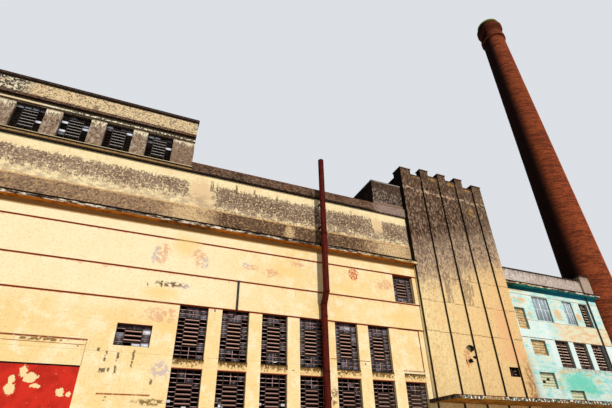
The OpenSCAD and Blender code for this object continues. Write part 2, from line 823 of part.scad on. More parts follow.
module wing_front_wall() {
    band_top_z = wing_band_z + wing_band_h;
    cut_y = wing_inner_y + over;
    profile = [
        [wing_inner_y, base_wall_h], [wing_y, base_wall_h], [wing_y, wing_band_z],
        [wing_y - wing_band_out, wing_band_z], [wing_y - wing_band_out, band_top_z], [wing_y, band_top_z],
        [wing_y, wing_cornice_z], [wing_inner_y, wing_cornice_z]
    ];
    color("paleturquoise") difference() {
        translate([tower_right, 0, 0]) rotate([90, 0, 90]) linear_extrude(wing_len) polygon(profile);
        for (x = wing_row_x) translate([x, 0, wing_sill_z]) cube([wing_window_w, cut_y, wing_window_h]);
        for (i = [0:len(wing_top_x) - 1])
            translate([wing_top_x[i], 0, wing_top_sill_z]) cube([wing_top_w[i], cut_y, wing_window_h]);
        for (b = blocked) translate([tower_right + b[0], 0, b[1]]) cube([b[2], cut_y, b[3]]);
    }
}

module wing_end_wall() {
    color("paleturquoise")
        block([wing_right - wall_t, wing_inner_y, 0], [wing_right, back_y, wing_cornice_top_z]);
}

module wing_back_wall() {
    color("paleturquoise") difference() {
        block([tower_right, back_y, 0], [wing_right, block_depth, wing_cornice_top_z]);
        to_back() wing_back_rows() translate([0, -over, 0])
            cube([wing_window_w, wall_t + 2 * over, wing_window_h]);
    }
}

module wing_cornice() {
    color("ivory") block([tower_right, wing_y - wing_cornice_out, wing_cornice_z],
                         [wing_right + wing_cornice_end, wing_inner_y, wing_cornice_top_z]);
}

module wing_parapet() {
    color("thistle") {
        block([tower_right, wing_y, wing_cornice_top_z],
              [wing_right - end_pier_w, wing_inner_y, wing_cornice_top_z + wing_parapet_h]);
        block([tower_right, back_y, wing_cornice_top_z],
              [wing_right, block_depth, wing_cornice_top_z + wing_parapet_h]);
        block([wing_right - wall_t, wing_inner_y + cap_joint, wing_cornice_top_z],
              [wing_right, back_y - cap_joint, wing_cornice_top_z + wing_parapet_h]);
    }
}

module wing_end_pier() {
    color("thistle") block([wing_right - end_pier_w, wing_y - end_pier_out, wing_cornice_top_z],
                           [wing_right, wing_inner_y, wing_cornice_top_z + end_pier_h]);
}

module wing_shutters() {
    color("lightslategray") for (i = [0:1])
        translate([wing_top_x[i], wing_y + shutter_recess, wing_top_sill_z])
            cube([wing_top_w[i], shutter_t, wing_window_h]);
}

module wing_window_frames() {
    color("saddlebrown") {
        for (x = wing_row_x) translate([x, wing_y + reveal, wing_sill_z])
            steel_frame(wing_window_w, wing_window_h, wing_panes);
        translate([wing_top_x[2], wing_y + reveal, wing_top_sill_z])
            steel_frame(top_window_w, wing_window_h, wing_panes);
    }
}

module wing_window_glass() {
    color("lightsteelblue") {
        for (x = wing_row_x) translate([x, wing_y + reveal, wing_sill_z])
            frame_glass(wing_window_w, wing_window_h, wing_panes);
        translate([wing_top_x[2], wing_y + reveal, wing_top_sill_z])
            frame_glass(top_window_w, wing_window_h, wing_panes);
    }
}

module wing_blocked_openings() {
    color("khaki") for (b = blocked)
        translate([tower_right + b[0], wing_y + blocked_recess, b[1]]) cube([b[2], blocked_t, b[3]]);
}

module canopy_slab() {
    low_z = canopy_z - over;
    high_z = canopy_top_z + over;
    color("olive") difference() {
        block([tower_left - canopy_lap, -canopy_out, canopy_z], [wing_right, wing_y, canopy_top_z]);
        block([tower_left - canopy_lap - over, 0, low_z], [tower_left, wing_y + over, high_z]);
        block([tower_left, tower_front_y, low_z], [tower_right, wing_y + over, high_z]);
        for (i = fins) block([fin_x[i], fin_front_y, low_z], [fin_x[i] + fin_w[i], 0, high_z]);
    }
}

// A straight length of pipe between two points
module pipe_run(a, b, r) {
    d = b - a;
    translate(a) rotate([0, acos(d[2] / norm(d)), atan2(d[1], d[0])]) cylinder(h = norm(d), r = r);
}

module vent_pipe() {
    foot = [pipe_x, -pipe_low_off, 0];
    bend_low = [pipe_x, -pipe_low_off, pipe_bend_z];
    bend_high = [pipe_x, -pipe_high_off, pipe_high_z];
    top = [pipe_x, -pipe_high_off, pipe_top_z];
    color("maroon") difference() {
        union() {
            pipe_run(foot, bend_low, pipe_r);
            translate(bend_low) sphere(elbow_r);
            pipe_run(bend_low, bend_high, pipe_r);
            translate(bend_high) sphere(elbow_r);
            pipe_run(bend_high, top, pipe_r);
            translate([pipe_x, -pipe_low_off, low_collar_z]) cylinder(h = collar_h, r = collar_r);
            translate([pipe_x, -pipe_high_off, high_collar_z]) cylinder(h = collar_h, r = collar_r);
        }
        pipe_run(bend_high, top + [0, 0, over], pipe_r - pipe_wall);
    }
}

// Flat ties between the pipe's back and the wall behind it
module pipe_brackets() {
    half_w = bracket_w / 2;
    color("saddlebrown") for (t = pipe_ties)
        block([pipe_x - half_w, pipe_r - t[1], t[0]], [pipe_x + half_w, t[2], t[0] + bracket_h]);
}

// The conduit stub over the second window and the wing's downpipe
module thin_pipes() {
    color("dimgray") {
        translate([window_x[1] + window_w / 2, -band_step - thin_pipe_r, head_z])
            cylinder(h = band_2_z - head_z, r = thin_pipe_r);
        translate([wing_right - end_pier_w, wing_y - wing_band_out - thin_pipe_r, canopy_top_z])
            cylinder(h = wing_cornice_z - canopy_top_z, r = thin_pipe_r);
    }
}

// The tapered flue between two heights, cut through what stands round it
module flue(z_low, z_high) {
    translate([0, 0, z_low]) cylinder(h = z_high - z_low, r1 = flue_r(z_low), r2 = flue_r(z_high));
}

module chimney_pedestal() {
    body_h = pedestal_h - 2 * pedestal_step_h;
    color("chocolate") translate([chimney_x, chimney_y, 0]) difference() {
        union() for (i = [0:2]) {
            side = pedestal_w - 2 * i * pedestal_step_in;
            translate([-side / 2, -side / 2, 0]) cube([side, side, body_h + i * pedestal_step_h]);
        }
        flue(-over, pedestal_h + over);
    }
}

module chimney_shaft() {
    ring_z = crown_z - ring_drop;
    color("chocolate") translate([chimney_x, chimney_y, 0]) difference() {
        union() {
            translate([0, 0, pedestal_h])
                cylinder(h = crown_z - pedestal_h, r1 = shaft_r(pedestal_h), r2 = shaft_r(crown_z));
            translate([0, 0, ring_z]) cylinder(h = ring_h, r = shaft_r(ring_z) + ring_out);
        }
        flue(pedestal_h - over, crown_z + over);
    }
}

module chimney_crown() {
    foot_r = shaft_r(crown_z);
    color("sienna") translate([chimney_x, chimney_y, 0]) difference() {
        union() {
            for (i = [1:corbels])
                translate([0, 0, crown_z + (i - 1) * corbel_h])
                    cylinder(h = (corbels + 1 - i) * corbel_h + crown_band_h,
                             r = foot_r + crown_out * i / corbels);
            translate([0, 0, crown_z]) cylinder(h = crown_h, r = foot_r + rim_out);
        }
        flue(crown_z - over, chimney_h + over);
    }
}

hall_front_wall();
hall_banded_wall();
hall_cornice();
hall_frieze_wall();
hall_parapet_caps();
hall_end_wall();
hall_back_wall();
hall_window_frames();
hall_window_glass();
back_window_frames();
back_window_glass();
window_infill_panel();
gateway_infill();
gateway_lintel();
penthouse_front_wall();
penthouse_rear_walls();
penthouse_ledges();
penthouse_coping();
penthouse_window_frames();
penthouse_window_glass();
roof_block_walls();
floor_slabs();
roof_slabs();
tower_base_wall();
tower_front_wall();
tower_fins();
tower_copings();
tower_side_walls();
tower_back_wall();
tower_cowl();
wing_base_wall();
wing_front_wall();
wing_end_wall();
wing_back_wall();
wing_cornice();
wing_parapet();
wing_end_pier();
wing_shutters();
wing_window_frames();
wing_window_glass();
wing_blocked_openings();
canopy_slab();
vent_pipe();
pipe_brackets();
thin_pipes();
chimney_pedestal();
chimney_shaft();
chimney_crown();
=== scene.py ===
"""Looks of a half-size factory building: worn plaster, steel sashes, mouldy concrete and brick.

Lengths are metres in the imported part's own frame: X runs along the facade to the right, Y runs into
the building, Z is up, and the origin is on the ground in the hall's front plane.
"""

import logging
from abc import ABC, abstractmethod
from dataclasses import dataclass, field
from enum import Enum
from functools import reduce
from typing import Sequence

import bpy
import numpy as np
from mathutils import Matrix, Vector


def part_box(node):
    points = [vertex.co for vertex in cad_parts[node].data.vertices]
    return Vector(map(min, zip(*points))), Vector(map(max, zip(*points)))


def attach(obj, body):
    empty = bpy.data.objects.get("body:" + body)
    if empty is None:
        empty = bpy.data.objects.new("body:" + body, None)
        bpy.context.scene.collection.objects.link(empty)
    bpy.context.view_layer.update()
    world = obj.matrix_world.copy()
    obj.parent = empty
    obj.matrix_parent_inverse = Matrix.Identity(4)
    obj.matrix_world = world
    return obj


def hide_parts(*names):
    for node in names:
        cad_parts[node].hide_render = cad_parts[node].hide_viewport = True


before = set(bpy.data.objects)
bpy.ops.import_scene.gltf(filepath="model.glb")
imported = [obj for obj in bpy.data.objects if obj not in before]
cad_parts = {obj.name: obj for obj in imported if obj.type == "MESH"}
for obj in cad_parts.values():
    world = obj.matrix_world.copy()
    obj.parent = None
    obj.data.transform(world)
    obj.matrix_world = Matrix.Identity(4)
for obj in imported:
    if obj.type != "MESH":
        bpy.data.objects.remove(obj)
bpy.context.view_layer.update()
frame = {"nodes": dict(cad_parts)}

log = logging.getLogger("factory")
Socket = bpy.types.NodeSocket
Colour = tuple[float, float, float, float]
Value = float | Socket
Paint = Colour | Socket
Array = np.ndarray
Material = bpy.types.Material
Span = tuple[float, float]
Surface = tuple[Array, Array]
Triple = tuple[float, float, float]


def tone(code: str) -> Colour:
    """Turn a six-digit screen colour into linear light.

    Args:
        code: Red, green and blue as hexadecimal digits.

    Returns:
        The colour in linear light, with alpha 1.
    """
    screen = np.array([int(code[i : i + 2], 16) for i in (0, 2, 4)]) / 255
    light = np.where(screen <= 0.04045, screen / 12.92, ((screen + 0.055) / 1.055) ** 2.4)
    return (*light.tolist(), 1.0)


def tones(codes: str) -> tuple[Colour, ...]:
    """Turn several screen colours, parted by spaces, into linear light."""
    return tuple(tone(code) for code in codes.split())


def solids(name: str) -> Array:
    """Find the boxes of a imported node's separate solids.

    Corners at one place count as one. The smallest corner number then spreads over the triangles
    until every solid has a single number.

    Args:
        name: Name of the node.

    Returns:
        The low and the high corner of each solid, in rows from the ground up and from left to
        right.
    """
    mesh = frame["nodes"][name].data
    points = np.empty(3 * len(mesh.vertices))
    mesh.vertices.foreach_get("co", points)
    points = points.reshape(-1, 3)
    loops = np.empty(len(mesh.loops), int)
    mesh.loops.foreach_get("vertex_index", loops)
    _, same = np.unique(np.round(points, 5), axis=0, return_inverse=True)
    same = same.ravel()
    corners = same[loops].reshape(-1, 3)
    label = np.arange(same.max() + 1)
    while True:
        fresh = label.copy()
        np.minimum.at(fresh, corners.ravel(), np.repeat(label[corners].min(axis=1), 3))
        fresh = fresh[fresh]
        if np.array_equal(fresh, label):
            break
        label = fresh
    owner = label[same]
    groups = [points[owner == number] for number in np.unique(owner)]
    boxes = [(group.min(axis=0), group.max(axis=0)) for group in groups]
    return np.array(sorted(boxes, key=lambda b: (round(float(b[0][2]), 2), float(b[0][0]))))


class Facing(Enum):
    """The direction in which a wall's inner face looks."""

    NONE = (0.0, 0.0, 0.0)
    BACK = (0.0, 1.0, 0.0)
    FRONT = (0.0, -1.0, 0.0)
    RIGHT = (1.0, 0.0, 0.0)
    LEFT = (-1.0, 0.0, 0.0)


DOWN: Triple = (0.0, 0.0, -1.0)
UP: Triple = (0.0, 0.0, 1.0)
EVEN: Triple = (1.0, 1.0, 1.0)
# Painted shade for faces that look into the dim rooms, standing also for sooty walls.
DARK_ROOM = tone("120e0b")


@dataclass(frozen=True)
class Patch:
    """A stain on the facade, as an ellipse in the wall's plane.

    Attributes:
        x: Middle along the facade.
        z: Middle above the ground.
        rx: Half of its length.
        rz: Half of its height.
    """

    x: float
    z: float
    rx: float
    rz: float


Patches = tuple[Patch, ...]


@dataclass(frozen=True)
class Mark:
    """A line or a narrow strip on the facade, as a box in the wall's plane.

    Attributes:
        x0: Left end.
        z0: Lower end.
        x1: Right end.
        z1: Upper end.
    """

    x0: float
    z0: float
    x1: float
    z1: float


Marks = tuple[Mark, ...]


@dataclass(frozen=True)
class Levels:
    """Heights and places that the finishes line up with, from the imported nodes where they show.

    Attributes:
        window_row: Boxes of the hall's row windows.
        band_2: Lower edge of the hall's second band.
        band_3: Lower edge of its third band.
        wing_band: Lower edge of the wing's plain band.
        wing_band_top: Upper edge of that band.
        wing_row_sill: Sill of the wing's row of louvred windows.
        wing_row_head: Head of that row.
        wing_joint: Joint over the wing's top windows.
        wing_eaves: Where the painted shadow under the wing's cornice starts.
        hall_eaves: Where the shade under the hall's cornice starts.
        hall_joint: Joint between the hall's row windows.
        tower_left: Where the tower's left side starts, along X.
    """

    window_row: Array = field(default_factory=lambda: solids("hall_window_glass"))
    band_2: float = 5.580
    band_3: float = 6.600
    wing_band: float = 4.955
    wing_band_top: float = 5.645
    wing_row_sill: float = 3.94
    wing_row_head: float = 4.94
    wing_joint: float = 6.70
    wing_eaves: float = 6.895
    hall_eaves: float = 6.90
    hall_joint: float = 3.36
    tower_left: float = -2.1

    @property
    def lower(self) -> Array:
        """Boxes of the lower row's windows."""
        return self.window_row[:7]

    @property
    def lower_sill(self) -> float:
        """Height of the lower row's sill."""
        return float(self.lower[0, 0, 2])

    @property
    def upper_sill(self) -> float:
        """Height of the upper row's sill."""
        return self.head - (float(self.lower[0, 1, 2]) - self.lower_sill)

    @property
    def head(self) -> float:
        """Height of the front wall's top, where the first band starts."""
        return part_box("hall_front_wall")[1].z

    @property
    def first_window(self) -> float:
        """Left edge of the first window."""
        return float(self.lower[0, 0, 0])

    @property
    def pitch(self) -> float:
        """Distance from one row window to the next."""
        return float(self.lower[1, 0, 0] - self.lower[0, 0, 0])

    @property
    def window_width(self) -> float:
        """Width of a row window."""
        return float(self.lower[0, 1, 0] - self.lower[0, 0, 0])


AT = Levels()


class Sketch:
    """One material's node tree, painted layer by layer on object coordinates in metres."""

    def __init__(self, name: str, base: Paint) -> None:
        """Start a tree with its coordinates, its shader and its first coat.

        Args:
            name: Name of the material.
            base: Colour of the first coat.
        """
        self.material = bpy.data.materials.new(name)
        self.material.use_nodes = True
        self.tree = self.material.node_tree
        self.shader = self.tree.nodes["Principled BSDF"]
        self.coords = self.node("ShaderNodeTexCoord").outputs["Object"]
        split = self.node("ShaderNodeSeparateXYZ")
        self.feed(split.inputs[0], self.coords)
        self.x, self.y, self.z = split.outputs
        self.normal = self.node("ShaderNodeNewGeometry").outputs["Normal"]
        torn = self.noise(0.07, 5, 0.75, shift=9.0)
        self.ragged = self.sum(self.times(self.noise(0.22, 6, 0.72), 0.6), (torn, 0.4))
        self.speck = self.noise(0.035, 2, 0.6)
        self.colour = base

    def node(self, kind: str, **settings: object) -> bpy.types.Node:
        """Add one node.

        Args:
            kind: Blender's name for the node.
            **settings: Properties to set on it.

        Returns:
            The new node.
        """
        made = self.tree.nodes.new(kind)
        for name, value in settings.items():
            setattr(made, name, value)
        return made

    def feed(self, socket: Socket, value: object) -> None:
        """Link a socket into an input, or set the input to a plain value.

        Args:
            socket: The input.
            value: The socket or the plain value.
        """
        if isinstance(value, bpy.types.NodeSocket):
            self.tree.links.new(value, socket)
        else:
            socket.default_value = value

    def math(self, operation: str, *values: Value) -> Socket:
        """Work out one sum on numbers.

        Args:
            operation: Name of the operation, such as MULTIPLY.
            *values: The numbers or sockets that go in.

        Returns:
            The result.
        """
        made = self.node("ShaderNodeMath", operation=operation)
        for socket, value in zip(made.inputs, values):
            self.feed(socket, value)
        return made.outputs[0]

    def times(self, *values: Value) -> Value:
        """Multiply any number of masks."""
        return reduce(lambda one, other: self.math("MULTIPLY", one, other), values)

    def most(self, *values: Value) -> Value:
        """Take the largest of any number of masks."""
        return reduce(lambda one, other: self.math("MAXIMUM", one, other), values)

    def less(self, value: Value, cut: Value) -> Socket:
        """Take one mask away from another."""
        return self.times(value, self.math("SUBTRACT", 1.0, cut))

    def sum(self, base: Value, *parts: tuple[Value, float]) -> Value:
        """Add values to a base, each with its own weight."""
        return reduce(lambda total, part: self.math("MULTIPLY_ADD", *part, total), parts, base)

    def ease(self, value: Value, start: float, stop: float) -> Socket:
        """Turn a value into a mask with smooth ends.

        Args:
            value: The value.
            start: Where the mask is 0.
            stop: Where the mask is 1. It may lie below start.

        Returns:
            The mask.
        """
        made = self.node("ShaderNodeMapRange", interpolation_type="SMOOTHSTEP")
        self.feed(made.inputs["Value"], value)
        made.inputs["From Min"].default_value = min(start, stop)
        made.inputs["From Max"].default_value = max(start, stop)
        made.inputs["To Min"].default_value = 0.0 if start < stop else 1.0
        made.inputs["To Max"].default_value = 1.0 if start < stop else 0.0
        return made.outputs["Result"]

    def span(self, value: Value, low: float, high: float, soft: float) -> Socket:
        """Mask that is 1 between two values, with soft edges outside them."""
        return self.times(self.ease(value, low - soft, low), self.ease(value, high + soft, high))

    def noise(
        self, size: float, detail: float, rough: float, stretch: Triple = EVEN, shift: float = 0.0
    ) -> Socket:
        """Fractal noise, mostly between 0.3 and 0.7.

        Args:
            size: Length of one lump.
            detail: Number of finer layers.
            rough: Strength of the finer layers.
            stretch: How much longer the lumps are along each axis.
            shift: Offset that gives another pattern.

        Returns:
            The noise.
        """
        place = self.node("ShaderNodeMapping")
        self.feed(place.inputs["Vector"], self.coords)
        place.inputs["Location"].default_value = (shift, shift * 0.7, shift * 1.3)
        place.inputs["Scale"].default_value = tuple(1 / (size * s) for s in stretch)
        made = self.node("ShaderNodeTexNoise")
        self.feed(made.inputs["Vector"], place.outputs[0])
        made.inputs["Scale"].default_value = 1.0
        made.inputs["Detail"].default_value = detail
        made.inputs["Roughness"].default_value = rough
        return made.outputs["Fac"]

    def grit(self, share: float, size: float, shift: float, tall: float = 1.0) -> Socket:
        """Mask of crisp grains.

        Args:
            share: How much of the surface the grains take, 0 to 1.
            size: Size of one grain.
            shift: Offset that gives another pattern.
            tall: How much longer the grains are along Z.

        Returns:
            The mask.
        """
        limit = 0.62 - 0.24 * share
        grains = self.noise(size, 2.0, 0.6, (1.3, 1.0, tall), shift)
        return self.ease(grains, limit - 0.04, limit + 0.04)

    def blend(self, share: Value, low: Paint, high: Paint) -> Socket:
        """Mix two colours by a mask.

        Args:
            share: The mask, 0 for the first colour.
            low: The first colour.
            high: The second colour.

        Returns:
            The mixed colour.
        """
        made = self.node("ShaderNodeMix", data_type="RGBA")
        for index, value in ((0, share), (6, low), (7, high)):
            self.feed(made.inputs[index], value)
        return made.outputs[2]

    def lay(self, over: Paint, *masks: Value) -> None:
        """Lay another colour over the present one, as far as the product of the masks."""
        self.colour = self.blend(self.times(*masks), self.colour, over)

    def facing(self, direction: Triple, start: float = 0.4, stop: float = 0.7) -> Socket:
        """Mask of the faces that look in a direction.

        Args:
            direction: The direction, as a unit vector.
            start: Cosine of the angle at which the mask is 0.
            stop: Cosine of the angle at which it is 1.

        Returns:
            The mask.
        """
        made = self.node("ShaderNodeVectorMath", operation="DOT_PRODUCT")
        self.feed(made.inputs[0], self.normal)
        made.inputs[1].default_value = direction
        return self.ease(made.outputs["Value"], start, stop)

    def darken_rooms(self, inner: Facing) -> None:
        """Paint shade on the faces that look into the dim rooms; it stands also for sooty walls."""
        if inner is not Facing.NONE:
            self.lay(DARK_ROOM, self.facing(inner.value))

    def patches(self, spots: Sequence[Patch], ragged: float, soft: float) -> Value:
        """Mask of several stains: 1 inside ellipses whose rims are moved by noise.

        Args:
            spots: The ellipses.
            ragged: How far the noise moves a rim, as a share of the radius.
            soft: Width of a rim, as a share of the radius.

        Returns:
            The mask.
        """
        masks = []
        for spot in spots:
            scaled = self.node("ShaderNodeVectorMath", operation="MULTIPLY_ADD")
            self.feed(scaled.inputs[0], self.coords)
            scaled.inputs[1].default_value = (1 / spot.rx, 0.0, 1 / spot.rz)
            scaled.inputs[2].default_value = (-spot.x / spot.rx, 0.0, -spot.z / spot.rz)
            length = self.node("ShaderNodeVectorMath", operation="LENGTH")
            self.feed(length.inputs[0], scaled.outputs[0])
            rim = self.sum(length.outputs["Value"], (self.ragged, 2 * ragged))
            masks.append(self.ease(rim, 1.0 + ragged, 1.0 + ragged - soft))
        return self.most(*masks)

    def marks(self, strips: Sequence[Mark], wander: float, soft: float = 0.006) -> Value:
        """Mask of several lines whose edges wander a little.

        Args:
            strips: The lines.
            wander: How far they wander.
            soft: Width of their soft edges.

        Returns:
            The mask.
        """
        x = self.sum(self.x, (self.ragged, wander))
        z = self.sum(self.z, (self.ragged, wander))
        middle = wander / 2
        masks = []
        for m in strips:
            across = self.span(x, m.x0 + middle, m.x1 + middle, soft)
            masks.append(self.times(across, self.span(z, m.z0 + middle, m.z1 + middle, soft)))
        return self.most(*masks)

    def level(self, height: float, thick: float, wander: float = 0.006) -> Socket:
        """Mask of a thin level line that wanders a little up and down.

        Args:
            height: Height of the line.
            thick: Its thickness.
            wander: How far it wanders.

        Returns:
            The mask.
        """
        place = self.sum(self.z, (self.ragged, wander))
        middle = height + wander / 2
        return self.span(place, middle - thick / 2, middle + thick / 2, thick * 0.5)

    def drips(self, top: float, reach: float, size: float, shift: float) -> Socket:
        """Mask of runs that hang from an edge and thin out below it.

        A run is there where noise drawn out along Z is larger than the share of the reach that
        has been covered.

        Args:
            top: Height of the edge.
            reach: Length of the longest runs.
            size: Width of one run.
            shift: Offset that gives other runs.

        Returns:
            The mask.
        """
        fall = self.sum(top / reach, (self.z, -1 / reach))
        runs = self.noise(size, 2.0, 0.6, (1.0, 1.0, max(reach / size * 1.5, 4.0)), shift)
        left = self.sum(-0.25, (runs, 1.6), (fall, -0.55))
        return self.times(self.ease(left, 0.28, 0.5), self.ease(fall, -0.02, 0.01))

    def finish(self, rough: Value, grain: Value | None, depth: float) -> Material:
        """Join the coats to the shader, with a relief of coarse grain and fine specks.

        Args:
            rough: Roughness of the surface.
            grain: Height of the coarse grain, 0 to 1, or None for specks alone.
            depth: Height that a relief of 1 stands for.

        Returns:
            The material.
        """
        self.feed(self.shader.inputs["Base Color"], self.colour)
        self.feed(self.shader.inputs["Roughness"], rough)
        self.shader.inputs["Metallic"].default_value = 0.0
        self.shader.inputs["Specular IOR Level"].default_value = 0.08
        relief = self.speck
        if grain is not None:
            relief = self.sum(self.times(relief, 0.4), (grain, 0.6))
        bump = self.node("ShaderNodeBump")
        bump.inputs["Distance"].default_value = depth
        bump.inputs["Strength"].default_value = 0.9
        self.feed(bump.inputs["Height"], relief)
        self.feed(self.shader.inputs["Normal"], bump.outputs[0])
        return self.material


@dataclass(frozen=True)
class Finish(ABC):
    """A surface finish that can draw its own material.

    Attributes:
        name: Name of the material.
    """

    name: str

    @abstractmethod
    def draw(self) -> Material:
        """Draw the material and return it."""


@dataclass(frozen=True)
class CreamPlaster(Finish):
    """Sun-bleached cream plaster of the hall, with bands, stains and rubbed patches.

    Attributes:
        stained: Whether it carries the stains of the hall's front.
        inner: The direction in which the wall's inner face looks.
    """

    stained: bool
    inner: Facing
    cream, warm, pale = tones("fae0a8 f7d48e fdeec6")
    tan, pink, lilac = tones("e6bb78 e2a480 cdb8b4")
    grime, spandrel, dark, rust = tones("74501f efc786 2b1a10 96380c")
    red, shade, splash = tones("a3200f a87e4a cf6d48")
    rubbed: Patches = (
        Patch(-10.82, 6.12, 0.24, 0.40), Patch(-9.80, 6.15, 0.22, 0.36),
        Patch(-8.25, 6.08, 0.26, 0.14), Patch(-7.60, 5.98, 0.30, 0.16),
        Patch(-6.70, 6.40, 0.30, 0.12), Patch(-10.55, 4.35, 0.60, 0.26),
        Patch(-3.50, 6.15, 0.45, 0.22),
    )
    bleached: Patches = (
        Patch(-10.42, 3.00, 0.30, 0.26), Patch(-11.02, 6.05, 0.10, 0.32),
        Patch(-9.62, 6.00, 0.12, 0.26), Patch(-10.30, 5.22, 0.42, 0.12),
        Patch(-8.40, 6.12, 0.14, 0.10), Patch(-5.40, 2.62, 0.12, 0.30),
    )
    orange: Patches = (
        Patch(-10.20, 6.45, 0.60, 0.50), Patch(-7.10, 6.10, 0.75, 0.30),
        Patch(-10.70, 4.95, 0.70, 0.30), Patch(-5.00, 5.85, 0.80, 0.25),
        Patch(-2.90, 5.10, 1.00, 0.30), Patch(-10.45, 4.10, 0.60, 0.30),
    )
    scratches: Marks = (
        Mark(-11.91, 3.31, -11.88, 3.42), Mark(-11.72, 3.14, -11.69, 3.36),
        Mark(-11.45, 2.86, -11.42, 3.40), Mark(-11.10, 3.02, -11.07, 3.42),
        Mark(-11.78, 2.88, -11.66, 2.96), Mark(-11.60, 2.90, -11.57, 2.97),
        Mark(-10.60, 2.66, -10.55, 2.78), Mark(-11.55, 2.27, -11.51, 2.35),
        Mark(-12.37, 3.42, -12.33, 3.47), Mark(-9.20, 4.60, -9.17, 4.70),
        Mark(-10.72, 5.12, -10.69, 5.30), Mark(-11.08, 5.08, -11.05, 5.22),
        Mark(-6.86, 3.16, -6.82, 3.20), Mark(-4.52, 3.48, -4.48, 3.51),
    )
    lines: Marks = (
        Mark(-11.73, 2.395, -10.55, 2.425), Mark(-5.66, 3.575, -4.33, 3.592),
        Mark(-2.355, 3.40, -2.335, 4.70), Mark(-3.12, 3.385, -2.335, 3.405),
        Mark(-14.40, 3.570, -12.18, 3.606), Mark(-14.40, 3.462, -12.20, 3.474),
    )
    thrown: Patch = Patch(-4.68, 6.36, 0.22, 0.22)
    upright: Mark = Mark(-12.20, 3.005, -12.185, 3.58)
    soiled: Patches = (
        Patch(-10.52, 2.26, 0.48, 0.09), Patch(-13.15, 3.53, 0.75, 0.05),
        Patch(-9.20, 1.20, 1.20, 0.30), Patch(-5.60, 2.55, 0.14, 0.30),
        Patch(-10.50, 5.22, 0.50, 0.10),
    )

    def draw(self) -> Material:
        """Draw the material.

        Returns:
            The material.
        """
        s = Sketch(self.name, self.cream)
        cloud = s.noise(0.45, 5, 0.7, shift=3.1)
        fleck = s.noise(0.07, 5, 0.8, (1.8, 1.0, 1.0), 7.0)
        s.lay(self.warm, s.ease(s.noise(1.6, 3, 0.6), 0.42, 0.62), 0.6)
        s.lay(self.pale, s.ease(cloud, 0.46, 0.62), 0.8)
        s.lay(self.tan, s.ease(s.noise(0.03, 4, 0.7, (24.0, 1.0, 1.0), 1.7), 0.54, 0.68), 0.3)
        s.lay(self.tan, s.ease(s.noise(0.06, 4, 0.7, (1.0, 1.0, 9.0), 4.0), 0.55, 0.70), 0.4)
        s.lay(self.tan, s.ease(fleck, 0.54, 0.68), s.ease(s.z, 5.6, 4.4), 0.6)
        s.lay(self.pale, s.ease(s.x, -6.5, -10.5), s.ease(s.z, 4.2, 5.0), 0.75)
        s.lay(self.tan, s.grit(0.2, 0.038, 4.0), 0.3)
        for edge, reach in ((AT.head, 0.10), (AT.band_2, 0.12), (AT.band_3, 0.10)):
            s.lay(self.pink, s.drips(edge, reach, 0.09, edge), 0.5)
            s.lay(self.rust, s.level(edge - 0.014, 0.030))
        if self.stained:
            self._stain(s)
        s.lay(self.rust, s.facing(DOWN))
        s.lay(self.grime, s.facing(UP), 0.55)
        s.darken_rooms(self.inner)
        return s.finish(s.sum(0.78, (cloud, 0.15)), fleck, 0.005)

    def _stain(self, s: Sketch) -> None:
        """Add the stains of the hall's front and the painted shadow under its cornice.

        Args:
            s: The node tree.
        """
        fine = s.grit(0.62, 0.08, 5.0)
        s.lay(self.warm, s.patches(self.orange, 0.9, 0.8), 0.8)
        s.lay(self.pink, s.patches(self.rubbed, 1.5, 0.5), fine, 0.7)
        s.lay(self.lilac, s.patches(self.bleached, 1.5, 0.5), fine, 0.85)
        self._sills(s)
        s.lay(self.splash, s.patches((self.thrown,), 1.2, 0.2), s.grit(0.6, 0.042, 8.0))
        s.lay(self.dark, s.marks(self.scratches, 0.16, 0.02), s.ease(fine, 0.2, 0.7), 0.8)
        s.lay(self.rust, s.marks(self.lines, 0.014), s.ease(s.ragged, 0.36, 0.5), 0.9)
        s.lay(self.grime, s.level(AT.hall_joint, 0.006, 0.04), s.ease(s.ragged, 0.35, 0.6), 0.5)
        s.lay(self.grime, s.marks((self.upright,), 0.014), 0.5)
        s.lay(self.grime, s.patches(self.soiled, 1.2, 0.5), fine, 0.85)
        s.lay(self.grime, s.ease(s.sum(s.z, (s.ragged, -0.5)), 0.5, 0.0), 0.6)
        # Painted shadow under the cornice: the wall's top strip is painted a darker tan.
        under = s.sum(s.z, (s.ragged, 0.06))
        s.lay(self.shade, s.ease(under, AT.hall_eaves, AT.hall_eaves + 0.04))

    def _sills(self, s: Sketch) -> None:
        """Add the grime that the rain has washed off the windows' sills.

        Places are counted in window pitches, with 20 more so that the count stays above 0.

        Args:
            s: The node tree.
        """
        bay = s.sum(20.0 - AT.first_window / AT.pitch, (s.x, 1 / AT.pitch))
        below = s.times(
            s.span(s.math("FRACT", bay), 0.0, AT.window_width / AT.pitch, 0.02),
            s.ease(s.x, AT.first_window - 0.05, AT.first_window),
        )
        lower_head = AT.head - AT.upper_sill + AT.lower_sill
        s.lay(self.red, s.span(s.z, lower_head - 0.002, lower_head + 0.018, 0.004), below, 0.85)
        gap = s.span(s.z, lower_head + 0.02, AT.upper_sill, 0.01)
        s.lay(self.spandrel, gap, below, 0.7)
        rise = s.sum(s.z, (s.noise(0.07, 5, 0.8, shift=2.0), 0.9))
        crust = s.times(s.ease(rise, AT.upper_sill + 0.31, AT.upper_sill + 0.36), gap)
        s.lay(self.grime, crust, below, 0.9)
        s.lay(self.dark, crust, below, s.grit(0.4, 0.035, 3.0), 0.7)
        s.lay(self.grime, s.drips(AT.lower_sill, 0.3, 0.05, 4.0), below, 0.7)
        rim = s.span(s.z, AT.upper_sill - 0.028, AT.upper_sill, 0.01)
        s.lay(self.dark, rim, below, s.ease(s.ragged, 0.35, 0.5), 0.85)


